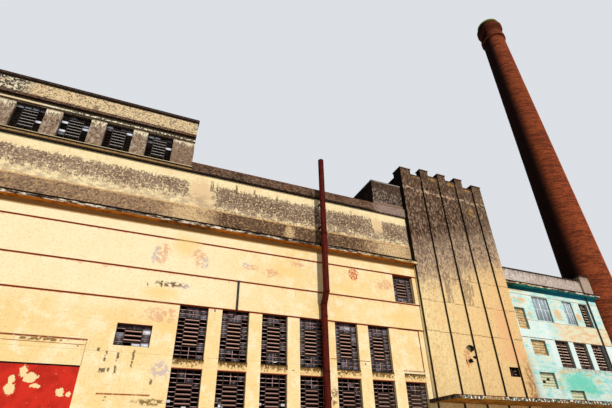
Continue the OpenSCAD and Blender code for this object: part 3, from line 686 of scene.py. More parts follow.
@dataclass(frozen=True)
class FriezePlaster(Finish):
    """Plaster of the hall's frieze: a cream strip on top, mould under it and a dark base band."""

    name: str = "frieze_plaster"
    cream, tan, mould = tones("fdeab8 e6c496 866b58")
    brown, grey, black = tones("5f4535 a38a74 241710")
    gold, base_tan, sand = tones("e3b87c b08f6d efcd97")
    base_top: float = 7.826
    thick: Patches = (
        Patch(-11.15, 8.56, 0.62, 0.17), Patch(-8.0, 8.35, 1.7, 0.42),
        Patch(-6.3, 8.25, 0.95, 0.5), Patch(-4.75, 8.35, 1.1, 0.42),
        Patch(-2.75, 8.25, 0.5, 0.3),
    )
    clean: Patches = (
        Patch(-10.0, 8.35, 0.55, 0.75), Patch(-3.45, 8.45, 0.30, 0.50),
    )
    smear: Patches = (Patch(-12.0, 8.25, 1.5, 0.16), Patch(-7.75, 8.1, 0.45, 0.25))
    clean_base: Patches = (
        Patch(-10.25, 7.5, 0.95, 0.6), Patch(-6.98, 7.45, 0.26, 0.5),
        Patch(-2.9, 7.5, 1.3, 0.6),
    )
    runs: Marks = (
        Mark(-9.72, 8.52, -9.64, 8.92), Mark(-9.53, 8.45, -9.50, 8.90),
        Mark(-8.90, 8.62, -8.84, 8.94), Mark(-8.28, 8.72, -8.22, 8.90),
        Mark(-7.45, 8.74, -7.41, 8.86), Mark(-4.58, 8.62, -4.53, 8.88),
    )

    def draw(self) -> Material:
        """Draw the material.

        Returns:
            The material.
        """
        s = Sketch(self.name, self.cream)
        broad = s.noise(0.8, 5, 0.65, (1.6, 1.0, 0.8))
        lump = s.noise(0.16, 6, 0.8, (1.5, 1.0, 1.0), 6.0)
        streak = s.noise(0.07, 5, 0.75, (0.8, 1.0, 3.0), 4.0)
        grain = s.noise(0.06, 5, 0.8, (1.2, 1.0, 1.0), 2.0)
        s.lay(self.tan, s.ease(broad, 0.46, 0.62), 0.4)
        s.lay(self.tan, s.grit(0.3, 0.042, 2.0), 0.5)
        clear = s.patches(self.clean, 1.1, 0.6)
        s.lay(self.tan, clear, 0.85)
        rise = s.sum(s.z, (streak, 0.9), (lump, 0.9))
        right = s.ease(s.x, -9.7, -9.35)
        floor = s.blend(right, s.ease(rise, 8.85, 9.20), s.ease(rise, 8.60, 8.95))
        zone = s.times(s.ease(rise, 9.85, 9.50), floor)
        zone = s.less(zone, s.times(clear, 0.75))
        cover = s.ease(s.sum(s.times(zone, 0.34), (lump, 0.6), (streak, 0.4)), 0.71, 0.78)
        low = s.ease(s.sum(s.z, (streak, 0.5)), 8.65, 8.35)
        s.lay(self.grey, low, s.ease(lump, 0.43, 0.53), 0.55)
        s.lay(self.mould, low, s.grit(0.3, 0.05, 7.0), right, 0.6)
        s.lay(self.grey, s.patches(self.smear, 1.2, 0.6), s.ease(streak, 0.4, 0.55), 0.7)
        s.lay(self.grey, cover)
        blotch = s.sum(s.times(grain, 0.5), (lump, 0.3), (streak, 0.2))
        s.lay(self.mould, cover, s.grit(0.5, 0.07, 1.0, 1.4), 0.6)
        s.lay(self.mould, cover, s.ease(broad, 0.50, 0.58), 0.8)
        s.lay(self.brown, cover, s.grit(0.25, 0.05, 5.0, 1.6), 0.55)
        heavy = s.times(s.patches(self.thick, 1.3, 0.7), cover)
        s.lay(self.mould, heavy, 0.8)
        s.lay(self.brown, heavy, s.grit(0.4, 0.06, 9.0, 1.6), 0.6)
        s.lay(self.black, heavy, s.grit(0.12, 0.042, 4.0, 1.6), 0.6)
        s.lay(self.cream, cover, s.grit(0.12, 0.05, 6.0), 0.6)
        s.lay(self.cream, s.times(cover, s.ease(streak, 0.60, 0.66)), 0.5)
        s.lay(self.black, s.marks(self.runs, 0.07, 0.02), s.ease(streak, 0.38, 0.55), 0.75)
        self._base(s, blotch)
        return s.finish(0.86, grain, 0.006)

    def _base(self, s: Sketch, blotch: Socket) -> None:
        """Paint the band at the frieze's foot.

        Args:
            s: The node tree.
            blotch: Fine and coarse noise together.
        """
        band = s.ease(s.z, self.base_top + 0.004, self.base_top)
        crust = s.blend(s.ease(blotch, 0.42, 0.58), self.base_tan, self.mould)
        dark = s.times(s.ease(s.sum(s.x, (s.ragged, 0.8)), -9.2, -8.8), s.ease(s.x, -3.2, -4.6))
        dirty = s.blend(s.ease(blotch, 0.36, 0.50), self.mould, self.brown)
        crust = s.blend(s.times(dark, 0.9), crust, dirty)
        crust = s.blend(s.times(s.grit(0.20, 0.05, 2.5), 0.45), crust, self.gold)
        crust = s.blend(s.times(s.grit(0.30, 0.05, 8.5), 0.5), crust, self.black)
        tidy = s.patches(self.clean_base, 1.6, 0.8)
        plain = s.blend(s.grit(0.35, 0.042, 6.5), self.sand, self.base_tan)
        crust = s.blend(s.times(tidy, 0.8), crust, plain)
        s.lay(crust, band)
        lip = s.span(s.z, self.base_top - 0.035, self.base_top + 0.01, 0.012)
        s.lay(self.gold, lip, s.ease(s.ragged, 0.40, 0.52), 0.8)
        s.lay(self.black, s.ease(s.sum(s.z, (s.ragged, -0.06)), 7.20, 7.17), 0.8)


@dataclass(frozen=True)
class RoofPlaster(Finish):
    """Dirty plaster of the walls that stand on the roof, with mould and rain streaks.

    Attributes:
        base: Colour of the plaster.
        low: Colour of the piers between windows.
        mould: Colour of the mould.
        split: Height at which the piers end.
        strip: Lower and upper edge of a whitish strip over the windows, or two equal heights.
        cover: How much of the surface the mould takes, 0 to 1.
        foot: Height up to which a pale foot reaches.
        drip: Strength of the pale runs at the piers' tops, 0 to 1.
    """

    base: Colour = tone("e6c797")
    low: Colour = tone("9b826c")
    mould: Colour = tone("7c604a")
    split: float = 10.35
    strip: Span = (0.0, 0.0)
    cover: float = 0.4
    foot: float = 0.0
    drip: float = 0.85
    black, white, grey, damp = tones("20160f f7ecc9 b9ad9d 8d7563")
    spot: Patch = Patch(-13.62, 10.72, 0.09, 0.16)

    def draw(self) -> Material:
        """Draw the material.

        Returns:
            The material.
        """
        s = Sketch(self.name, self.base)
        grain = s.noise(0.06, 5, 0.8, (1.3, 1.0, 1.0))
        streak = s.noise(0.06, 5, 0.75, (1.0, 1.0, 3.5), 4.0)
        broad = s.noise(0.5, 5, 0.7)
        s.lay(self.low, s.ease(s.z, self.split + 0.005, self.split - 0.005), 0.95)
        piers = s.ease(s.z, self.split, self.split - 0.2)
        s.lay(self.grey, s.grit(0.4, 0.046, 3.0, 3.0), piers, 0.7)
        s.lay(self.mould, s.grit(0.2 + 0.5 * self.cover, 0.067, 1.0, 1.5), 0.7)
        s.lay(self.mould, s.ease(broad, 0.54, 0.62), s.grit(0.6, 0.038, 2.0), 0.8)
        s.lay(self.black, s.grit(0.35 * self.cover, 0.042, 5.0), 0.7)
        pale = s.ease(s.sum(s.z, (streak, 1.4)), self.split + 0.50, self.split + 0.60)
        s.lay(self.white, pale, s.ease(s.z, self.split - 0.05, self.split - 0.07), self.drip)
        if self.strip[1] > self.strip[0]:
            self._head(s)
        if self.foot:
            wet = s.ease(s.z, self.foot + 0.01, self.foot - 0.01)
            s.lay(self.damp, wet, s.ease(grain, 0.35, 0.5))
        # Painted shade: faces that look down or to the left are painted nearly black.
        s.lay(self.black, s.most(s.facing(DOWN), s.facing(Facing.LEFT.value)), 0.85)
        return s.finish(0.88, grain, 0.006)

    def _head(self, s: Sketch) -> None:
        """Paint the band of painted shadow over the windows, the whitish strip in it, the wall over
        it and the right end pier.

        Args:
            s: The node tree.
        """
        low, high = self.strip
        # Painted shadow of the ledge: a nearly black band over the windows, up to the wall above the
        # strip.
        s.lay(self.black, s.span(s.z, self.split - 0.02, high + 0.2, 0.005), 0.92)
        strip = s.span(s.sum(s.z, (s.ragged, 0.03)), low + 0.015, high + 0.015, 0.008)
        s.lay(self.white, strip)
        s.lay(self.base, strip, s.ease(s.x, -14.8, -15.2), 0.8)
        s.lay(self.black, strip, s.ease(s.x, -15.2, -13.8), s.grit(0.60, 0.05, 4.0), 0.92)
        above = s.ease(s.z, high + 0.155, high + 0.16)
        s.lay(self.base, above)
        s.lay(self.mould, above, s.grit(0.36, 0.046, 6.0), 0.6)
        s.lay(self.white, above, s.grit(0.26, 0.042, 3.0), 0.6)
        s.lay(self.black, above, s.grit(0.16, 0.042, 8.0), 0.75)
        s.lay(self.mould, above, s.patches((self.spot,), 0.6, 0.3), 0.8)
        left = s.times(above, s.ease(s.sum(s.x, (s.ragged, 0.6)), -15.0, -15.5))
        s.lay(self.grey, left, s.grit(0.6, 0.059, 1.0), 0.9)
        s.lay(self.black, left, s.grit(0.66, 0.055, 9.0), 0.92)
        s.lay(self.white, left, s.grit(0.22, 0.046, 5.0), 0.9)
        pier = s.ease(s.z, self.split - 0.05, self.split - 0.2)
        s.lay(self.mould, s.ease(s.x, -11.3, -11.2), pier, s.grit(0.7, 0.05, 5.0, 4.0), 0.6)


@dataclass(frozen=True)
class MouldyConcrete(Finish):
    """Nearly black concrete caps with pale lichen specks and rusty tops."""

    name: str = "mouldy_concrete"
    face, dark, lichen = tones("694d3b 2f2018 8d7460")
    rust, moss, gold, shadow = tones("6e4024 575021 b08a54 160e09")
    washed, rim, dusty = tones("efd9a8 6f3a20 ab9488")
    penthouse_right: float = -10.42

    def draw(self) -> Material:
        """Draw the material.

        Returns:
            The material.
        """
        s = Sketch(self.name, self.dark)
        grain = s.noise(0.06, 6, 0.8, (1.6, 1.0, 0.8))
        broad = s.noise(0.5, 4, 0.7, shift=2.0)
        s.lay(self.face, s.grit(0.6, 0.05, 1.0, 0.8))
        s.lay(self.lichen, s.grit(0.34, 0.046, 4.0, 0.8), 0.85)
        s.lay(self.dark, s.ease(broad, 0.50, 0.60), s.grit(0.6, 0.042, 9.0), 0.8)
        s.lay(self.rust, s.ease(s.noise(0.3, 3, 0.6, (2.0, 1.0, 1.0), 7.0), 0.5, 0.68), 0.35)
        low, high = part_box("hall_frieze_wall")[1].z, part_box("hall_parapet_caps")[1].z
        worn = s.ease(grain, 0.40, 0.52)
        under_penthouse = s.ease(s.x, self.penthouse_right + 0.02, self.penthouse_right)
        left = s.times(under_penthouse, s.ease(s.z, 9.30, 9.28))
        s.lay(self.shadow, left, s.span(s.z, low + 0.12, low + 0.19, 0.01), 0.9)
        s.lay(self.gold, left, s.span(s.z, low + 0.035, low + 0.12, 0.01), worn, 0.8)
        s.lay(self.washed, left, s.ease(s.z, low + 0.185, low + 0.20), 0.8)
        rim = s.span(s.z, high - 0.03, high, 0.01)
        s.lay(self.rim, rim, s.ease(s.ragged, 0.4, 0.5), 0.7)
        edge = s.ease(s.x, AT.tower_left + 0.1, AT.tower_left)
        right = s.times(s.ease(s.x, -3.7, -3.3), edge)
        s.lay(self.dusty, right, s.span(s.z, low + 0.05, high - 0.03, 0.02), worn, 0.8)
        s.lay(self.shadow, s.span(s.z, low - 0.01, low + 0.06, 0.02), s.ease(s.x, -3.2, -3.8), 0.92)
        foot, top = (corner.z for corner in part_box("penthouse_coping"))
        s.lay(self.shadow, s.ease(s.z, foot - 0.01, foot), s.ease(s.x, -9.0, -10.0), 0.5)
        s.lay(self.shadow, s.span(s.z, foot - 0.01, foot + 0.06, 0.01), 0.92)
        s.lay(self.shadow, s.span(s.z, top - 0.03, top + 0.01, 0.01), 0.8)
        s.lay(self.moss, s.facing(UP), s.ease(broad, 0.35, 0.6), 0.8)
        s.lay(self.shadow, s.facing(DOWN), 0.9)
        return s.finish(0.9, grain, 0.009)


@dataclass(frozen=True)
class CornicePaint(Finish):
    """Cornice with a black top edge, peeling paint on its front and a stained soffit.

    Attributes:
        node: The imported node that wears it.
        soffit: Colour of its underside.
        soffit_dark: Colour of the stains there.
        stain: A darker stretch of the underside, along X.
        gilded: Where along X the front's paint turns golden, from none to most.
        far: Colour of the underside towards its right end.
        gilt: Colour of the golden paint.
        paint: Colour of the paint left on its front.
    """

    node: str
    soffit: Colour
    soffit_dark: Colour
    stain: Span
    gilded: Span
    far: Colour
    gilt, paint, bare, dark = tones("ecc88a efe4cd 8a6b50 24180f")
    edge, scorch, upper = tones("120b07 4a2c14 3a3026")

    def draw(self) -> Material:
        """Draw the material.

        Returns:
            The material.
        """
        s = Sketch(self.name, self.dark)
        low, high = (corner.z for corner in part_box(self.node))
        flake = s.noise(0.09, 6, 0.78, (2.6, 1.0, 0.6))
        s.lay(self.bare, s.ease(flake, 0.44, 0.50))
        s.lay(self.paint, s.ease(flake, 0.51, 0.57))
        s.lay(self.gilt, s.ease(s.x, *self.gilded), s.ease(flake, 0.42, 0.50), 0.7)
        s.lay(self.dark, s.ease(s.noise(0.5, 4, 0.7, (2.0, 1.0, 1.0), 3.0), 0.52, 0.60), 0.7)
        rim = s.sum(s.z, (s.ragged, 0.08))
        s.lay(self.edge, s.ease(rim, high - 0.02, high - 0.005))
        s.lay(self.soffit_dark, s.ease(rim, low + 0.045, low + 0.03))
        under = s.facing(DOWN)
        mottle = s.ease(s.noise(0.16, 5, 0.75, (2.0, 1.0, 1.0), 5.0), 0.44, 0.58)
        s.lay(s.blend(mottle, self.soffit, self.soffit_dark), under)
        s.lay(self.far, under, s.ease(s.x, 3.2, 6.6), mottle, 0.8)
        stained = s.span(s.x, *self.stain, 0.35)
        s.lay(self.scorch, under, stained, s.ease(s.ragged, 0.38, 0.55), 0.8)
        s.lay(self.upper, s.facing(UP))
        return s.finish(0.84, flake, 0.004)


@dataclass(frozen=True)
class TowerPlaster(Finish):
    """Tan plaster of the tower, dark with mould at the top and clean and warm at the foot.

    The mould's depth at a place is its height plus streaks and clouds of noise, so that it fades
    downwards in runs.

    Attributes:
        front: Whether it carries the stains of the tower's front.
        inner: The direction in which the wall's inner face looks.
        early: Depths of the mould between which its dusty grains set in.
        middle: The same for its grey streaks.
        late: The same for its darker clouds.
        oldest: The same for its brown and black crust.
    """

    front: bool = False
    inner: Facing = Facing.NONE
    pale, warm, tan, dusty = tones("f6dba2 edc084 f0c98c b59a80")
    grey, brown, crust, light = tones("7e6856 5a402f 2a1c13 d0b08c")
    seam, gold, rose, splash = tones("7c5a35 b88c4c efb583 9a6a3e")
    rust, hole, shadow, bare_side = tones("c77f4a 100907 130c08 fff3d0")
    early: Span = (7.6, 8.8)
    middle: Span = (8.2, 9.5)
    late: Span = (9.2, 10.4)
    oldest: Span = (10.0, 10.6)
    tilt: float = 0.3
    corner: float = 0.030
    crown: float = 11.0
    joints: tuple[float, ...] = (6.74, 5.77, 4.70)
    golden: Patches = (
        Patch(1.30, 10.02, 0.20, 0.34), Patch(1.35, 11.12, 0.30, 0.10),
        Patch(0.45, 11.26, 0.34, 0.12), Patch(-0.50, 11.28, 0.26, 0.10),
        Patch(-1.35, 11.20, 0.25, 0.06),
    )
    rosy: Patches = (Patch(1.4, 5.2, 0.5, 1.3), Patch(1.5, 4.2, 0.8, 0.5))
    wet: Patch = Patch(2.0, 3.2, 0.32, 1.0)
    rusty: Patch = Patch(-0.62, 3.92, 0.20, 0.30)
    holes: Patches = (
        Patch(-0.47, 3.83, 0.13, 0.07), Patch(-0.69, 3.79, 0.06, 0.09),
        Patch(-0.28, 3.95, 0.08, 0.05),
    )
    stale: Marks = (
        Mark(-0.98, 5.80, -0.70, 6.90), Mark(-0.10, 5.80, 0.22, 6.74),
        Mark(-0.22, 5.90, -0.12, 7.40), Mark(0.30, 6.20, 0.36, 7.00),
    )

    def draw(self) -> Material:
        """Draw the material.

        Returns:
            The material.
        """
        s = Sketch(self.name, self.pale)
        broad = s.noise(0.55, 5, 0.7, (0.8, 0.8, 1.6))
        streak = s.noise(0.07, 5, 0.75, (1.0, 1.0, 6.0), 4.0)
        grain = s.noise(0.11, 3, 0.65, (1.0, 1.0, 1.4), 6.0)
        blotch = s.sum(s.times(grain, 0.6), (streak, 0.4))
        s.lay(self.warm, s.ease(s.x, -2.2, 2.2), 0.9)
        s.lay(self.tan, s.ease(broad, 0.42, 0.6), 0.6)
        s.lay(self.pale, s.ease(streak, 0.5, 0.64), 0.5)
        s.lay(self.warm, s.ease(grain, 0.52, 0.64), 0.7)
        depth = s.sum(s.z, (streak, 1.8), (broad, 1.4), (s.x, -self.tilt))
        mid = s.ease(depth, *self.middle)
        early = s.ease(depth, *self.early)
        s.lay(self.dusty, early, s.grit(0.45, 0.055, 2.0, 1.5), 0.8)
        s.lay(self.dusty, mid, s.ease(blotch, 0.36, 0.46))
        s.lay(self.grey, mid, s.grit(0.52, 0.059, 7.0, 3.0), 0.85)
        s.lay(self.light, mid, s.grit(0.30, 0.05, 9.0, 2.0), 0.85)
        s.lay(self.crust, mid, s.grit(0.24, 0.046, 3.0, 2.4), 0.7)
        s.lay(self.grey, s.ease(depth, *self.late), s.ease(blotch, 0.42, 0.54), 0.9)
        old = s.ease(depth, *self.oldest)
        s.lay(self.brown, old, 0.95)
        s.lay(self.crust, old, s.grit(0.48, 0.055, 5.0, 5.0), 0.75)
        s.lay(self.dusty, old, s.grit(0.22, 0.046, 1.0, 3.0), 0.55)
        s.lay(self.dusty, old, s.ease(s.x, 0.3, 1.8), s.grit(0.4, 0.05, 4.0), 0.3)
        s.lay(self.brown, s.ease(s.z, 10.5, 11.2), 0.4)
        s.lay(self.grey, s.grit(0.10, 0.038, 8.0, 2.0), 0.35)
        if self.front:
            self._stain(s, grain, blotch)
        left = s.facing(Facing.LEFT.value, 0.6, 0.8)
        s.lay(self.shadow, s.most(left, s.facing(DOWN)), 0.95)
        # Painted light: the left side next to the hall, below its eaves, lies in shade and is painted
        # pale cream to look sunlit.
        edge = s.ease(s.x, AT.tower_left + 0.1, AT.tower_left)
        end = s.times(edge, s.ease(s.y, -0.11, -0.09))
        eaves = s.ease(s.z, AT.hall_eaves + 0.15, AT.hall_eaves + 0.05)
        s.lay(self.bare_side, left, end, eaves)
        s.darken_rooms(self.inner)
        return s.finish(0.86, grain, 0.007)

    def _stain(self, s: Sketch, grain: Socket, blotch: Socket) -> None:
        """Add the stains of the tower's front, painted shadow strips beside its fins and painted
        shade in its broken holes.

        Args:
            s: The node tree.
            grain: Fine noise.
            blotch: Fine noise together with noise drawn out along Z.
        """
        wave = s.sum(s.z, (s.ragged, 0.9))
        line = s.times(s.ease(wave, 10.88, 10.93), s.ease(wave, 11.02, 10.97))
        s.lay(self.light, line, s.ease(grain, 0.44, 0.54), 0.9)
        s.lay(self.gold, s.patches(self.golden, 1.3, 0.6), s.ease(grain, 0.40, 0.54), 0.75)
        s.lay(self.grey, s.marks(self.stale, 0.16, 0.05), s.grit(0.7, 0.05, 6.0, 3.0), 0.65)
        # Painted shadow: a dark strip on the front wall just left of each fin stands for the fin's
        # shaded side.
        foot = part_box("tower_fins")[0].z
        edges = solids("tower_fins")[:, 0, 0]
        dirt = [Mark(x - self.corner, foot, x, self.crown) for x in edges]
        s.lay(self.crust, s.marks(dirt, 0.02, 0.008), s.facing(Facing.FRONT.value), 0.9)
        for joint in self.joints:
            s.lay(self.seam, s.level(joint, 0.016, 0.06), s.ease(s.ragged, 0.40, 0.52), 0.9)
        s.lay(self.rose, s.patches(self.rosy, 1.0, 0.8), 0.7)
        s.lay(self.splash, s.patches((self.wet,), 1.2, 0.6), s.ease(blotch, 0.42, 0.55), 0.8)
        s.lay(self.rust, s.patches((self.rusty,), 1.5, 0.3), s.ease(grain, 0.42, 0.5), 0.7)
        # Painted shade: the broken holes are painted nearly black for their dark insides.
        s.lay(self.hole, s.patches(self.holes, 1.3, 0.15))


@dataclass(frozen=True)
class TurquoisePlaster(Finish):
    """Pale turquoise plaster of the wing, rubbed to white, cream and orange."""

    inner: Facing
    pale, white, aqua, strong = tones("cdeae2 e9f8f4 8fdcd2 70d6bc")
    cream, orange, dirt = tones("f6e6bc f0b46c 957650")
    rust, teal, blue, shadow = tones("a8672f 155a56 1f86a4 4d4a40")
    field: Patches = (Patch(5.9, 3.45, 2.6, 0.85),)
    deep: Patches = (Patch(4.85, 3.40, 1.35, 0.55), Patch(5.35, 3.22, 0.75, 0.36))
    halo: Patches = (
        Patch(3.80, 3.30, 0.13, 0.42), Patch(4.15, 3.74, 0.35, 0.09),
        Patch(4.75, 3.82, 0.50, 0.06), Patch(5.45, 3.72, 0.40, 0.06),
        Patch(5.95, 3.52, 0.25, 0.08), Patch(2.95, 6.42, 0.50, 0.18),
        Patch(3.30, 5.85, 0.14, 0.22), Patch(4.90, 6.05, 0.25, 0.30),
        Patch(6.15, 6.05, 0.20, 0.25),
    )

    def draw(self) -> Material:
        """Draw the material.

        Returns:
            The material.
        """
        s = Sketch(self.name, self.pale)
        broad = s.noise(0.9, 4, 0.65)
        wipe = s.noise(0.16, 5, 0.75, (2.2, 1.0, 0.8), 3.0)
        grain = s.noise(0.05, 4, 0.75, shift=6.0)
        s.lay(self.white, s.ease(broad, 0.42, 0.6), 0.8)
        s.lay(self.cream, s.ease(wipe, 0.52, 0.62), 0.7)
        s.lay(self.aqua, s.ease(wipe, 0.49, 0.39), 0.8)
        band = s.span(s.z, AT.wing_band, AT.wing_band_top, 0.004)
        s.lay(self.white, band, s.ease(s.x, 4.3, 4.0), 0.6)
        rubbed = s.blend(s.ease(wipe, 0.42, 0.58), self.cream, self.orange)
        s.lay(rubbed, band, s.ease(s.x, 4.2, 5.0), 0.75)
        s.lay(self.aqua, s.patches(self.field, 1.1, 0.7), s.ease(wipe, 0.60, 0.48), 0.55)
        s.lay(self.orange, s.patches(self.halo, 1.5, 0.6), s.ease(wipe, 0.38, 0.5), 0.8)
        s.lay(self.strong, s.patches(self.deep, 0.8, 0.7), s.ease(wipe, 0.76, 0.58), 0.9)
        piers = s.span(s.z, AT.wing_row_sill, AT.wing_row_head, 0.02)
        s.lay(self.white, piers, s.ease(s.x, 3.8, 4.0), 0.75)
        s.lay(self.dirt, s.ease(s.x, 2.85, 2.25), s.ease(s.z, 4.9, 3.4), 0.9)
        # Painted shadow under the cornice: the wall's top strip is painted dark teal, turning bluer
        # to the right.
        rim = s.sum(s.z, (s.ragged, 0.05))
        eaves = s.ease(rim, AT.wing_eaves - 0.01, AT.wing_eaves + 0.01)
        s.lay(s.blend(s.ease(s.x, 2.0, 6.6), self.teal, self.blue), eaves)
        line = s.span(s.z, AT.wing_eaves - 0.095, AT.wing_eaves - 0.04, 0.01)
        s.lay(self.orange, line, s.ease(s.x, 3.6, 3.0), s.ease(wipe, 0.4, 0.5), 0.8)
        for edge in (AT.wing_band, AT.wing_band_top, AT.wing_joint):
            s.lay(self.rust, s.level(edge, 0.016, 0.015), s.ease(s.ragged, 0.38, 0.5), 0.85)
        s.lay(self.rust, s.drips(AT.wing_row_sill, 0.25, 0.05, 2.0), s.ease(s.x, 4.1, 4.2), 0.5)
        s.lay(self.dirt, s.ease(grain, 0.58, 0.68), 0.45)
        s.lay(self.shadow, s.most(s.facing(Facing.LEFT.value, 0.6, 0.8), s.facing(DOWN)), 0.6)
        s.darken_rooms(self.inner)
        return s.finish(0.82, grain, 0.005)


@dataclass(frozen=True)
class PinkPlaster(Finish):
    """Grey-pink plaster of the wing's parapet, washed pale, with a black top edge.

    Attributes:
        node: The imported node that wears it.
        wall: Colour of the plaster.
    """

    node: str
    wall: Colour
    washed, rosy, brown, runs, rim = tones("e4dcd3 a8836f 5a463c 6f5b4c 221811")

    def draw(self) -> Material:
        """Draw the material.

        Returns:
            The material.
        """
        s = Sketch(self.name, self.wall)
        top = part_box(self.node)[1].z
        grain = s.noise(0.07, 5, 0.8, shift=6.0)
        wash = s.noise(0.22, 6, 0.75, (1.4, 1.0, 1.6))
        s.lay(self.washed, s.ease(wash, 0.42, 0.54), s.ease(s.x, 7.5, 2.5), 0.9)
        s.lay(self.rosy, s.ease(grain, 0.44, 0.58), 0.6)
        s.lay(self.brown, s.ease(grain, 0.57, 0.66), 0.55)
        s.lay(self.runs, s.drips(top, 0.40, 0.05, 3.0), 0.8)
        edge = s.ease(s.sum(s.z, (s.ragged, 0.05)), top - 0.065, top - 0.04)
        s.lay(self.rim, s.most(edge, s.facing(UP)), 0.92)
        return s.finish(0.86, grain, 0.005)


@dataclass(frozen=True)
class RedFlakes(Finish):
    """Bright red paint on the walled-up gateway, flaking off the cream plaster under it."""

    name: str = "red_flakes"
    node: str = "gateway_infill"
    red, deep, bare, shadow = tones("d22e1e ab2214 f6d9a2 1c0e09")
    flakes: Patches = (
        Patch(-13.30, 2.82, 0.09, 0.14), Patch(-13.14, 2.68, 0.13, 0.11),
        Patch(-13.00, 2.53, 0.12, 0.05), Patch(-13.48, 2.62, 0.06, 0.10),
        Patch(-13.46, 2.44, 0.10, 0.12), Patch(-12.48, 2.40, 0.09, 0.09),
        Patch(-12.30, 2.38, 0.05, 0.06), Patch(-13.95, 2.2, 0.22, 0.2),
        Patch(-13.5, 1.4, 0.3, 0.4), Patch(-12.6, 1.0, 0.25, 0.3),
    )

    def draw(self) -> Material:
        """Draw the material.

        Returns:
            The material.
        """
        s = Sketch(self.name, self.red)
        s.lay(self.deep, s.ease(s.noise(0.5, 5, 0.7), 0.42, 0.62), 0.7)
        chips = s.ease(s.noise(0.07, 5, 0.75, shift=2.0), 0.66, 0.68)
        bare = s.most(s.patches(self.flakes, 2.4, 0.12), chips)
        s.lay(self.bare, bare)
        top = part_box(self.node)[1].z
        s.lay(self.shadow, s.ease(s.sum(s.z, (s.ragged, 0.03)), top - 0.025, top - 0.015))
        s.darken_rooms(Facing.BACK)
        return s.finish(s.sum(0.6, (bare, 0.25)), bare, 0.003)


@dataclass(frozen=True)
class Concrete(Finish):
    """Weathered concrete of slabs and roofs.

    Attributes:
        light: Colour of dry places.
        dark: Colour of damp places.
    """

    light: Colour
    dark: Colour

    def draw(self) -> Material:
        """Draw the material.

        Returns:
            The material.
        """
        s = Sketch(self.name, self.dark)
        pond = s.noise(1.1, 4, 0.65)
        grain = s.noise(0.08, 5, 0.75, shift=3.0)
        s.lay(self.light, s.ease(pond, 0.4, 0.6))
        s.lay(self.dark, s.ease(grain, 0.5, 0.66), 0.6)
        s.lay(self.light, s.ease(s.ragged, 0.56, 0.66), s.ease(pond, 0.45, 0.6), 0.5)
        return s.finish(0.9, grain, 0.006)


@dataclass(frozen=True)
class CanopyConcrete(Finish):
    """Canopy with white paint peeling off its edge and a yellow-brown soffit."""

    name: str = "canopy_concrete"
    bare, mould, paint, teal = tones("94703a 22180f f0f0e8 4f9c90")
    gold, shadow, rim = tones("b98a3e 1a120d 5a1810")
    soffit, soffit_dark, top_dark, top = tones("a86f22 6e430e 5b544a 8b8272")

    def draw(self) -> Material:
        """Draw the material.

        Returns:
            The material.
        """
        s = Sketch(self.name, self.bare)
        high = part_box("canopy_slab")[1].z
        flake = s.noise(0.07, 6, 0.8, (1.2, 1.0, 1.4))
        s.lay(self.mould, s.grit(0.56, 0.055, 1.0, 1.6), 0.92)
        s.lay(self.paint, s.grit(0.26, 0.055, 4.0, 1.6))
        s.lay(self.teal, s.grit(0.12, 0.050, 7.0, 1.4), 0.75)
        s.lay(self.gold, s.span(s.x, -1.2, -0.6, 0.15), s.ease(s.ragged, 0.4, 0.5), 0.6)
        s.lay(self.shadow, s.ease(s.x, AT.tower_left + 0.05, AT.tower_left - 0.1), 0.85)
        s.lay(self.rim, s.ease(s.z, high - 0.028, high - 0.014))
        stain = s.ease(s.noise(0.3, 5, 0.7, shift=7.0), 0.42, 0.58)
        soffit = s.blend(stain, self.soffit, self.soffit_dark)
        s.lay(soffit, s.facing(DOWN))
        top = s.blend(s.ease(s.noise(0.7, 4, 0.7), 0.4, 0.6), self.top_dark, self.top)
        s.lay(top, s.facing(UP))
        return s.finish(0.82, flake, 0.004)


@dataclass(frozen=True)
class OldSteel(Finish):
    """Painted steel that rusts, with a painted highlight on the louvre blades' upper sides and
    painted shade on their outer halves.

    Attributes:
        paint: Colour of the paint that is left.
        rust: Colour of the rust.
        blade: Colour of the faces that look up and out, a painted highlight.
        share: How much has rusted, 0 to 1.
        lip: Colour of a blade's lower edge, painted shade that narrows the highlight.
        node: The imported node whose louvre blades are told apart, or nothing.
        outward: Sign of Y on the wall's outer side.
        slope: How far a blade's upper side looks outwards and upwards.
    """

    paint: Colour
    rust: Colour
    blade: Colour
    share: float = 0.5
    lip, shadow = tones("3a1a12 0c0806")
    node: str = ""
    outward: int = -1
    slope: Span = (0.788, 0.616)

    def draw(self) -> Material:
        """Draw the material.

        Returns:
            The material.
        """
        s = Sketch(self.name, self.paint)
        limit = 0.68 - 0.3 * self.share
        rusty = s.ease(s.noise(0.06, 5, 0.75), limit, limit + 0.1)
        if self.node:
            out, up = self.slope
            top_side = s.facing((0.0, self.outward * out, up), 0.85, 0.95)
            # Painted highlight on the blades' upper sides, weaker on the lower windows, with painted
            # shade on their outer, lower halves.
            s.lay(self.blade, top_side)
            s.lay(self.paint, top_side, s.ease(s.z, 3.3, 3.1), 0.4)
            middle = float(solids(self.node)[0, :, 1].mean())
            lower = s.ease(s.y, middle - self.outward * 0.004, middle + self.outward * 0.004)
            s.lay(self.lip, top_side, lower, 0.95)
        s.lay(self.rust, rusty, 0.6)
        s.lay(self.shadow, s.facing(DOWN, 0.5, 0.6), 0.9)
        return s.finish(s.sum(0.5, (rusty, 0.35)), rusty, 0.0012)


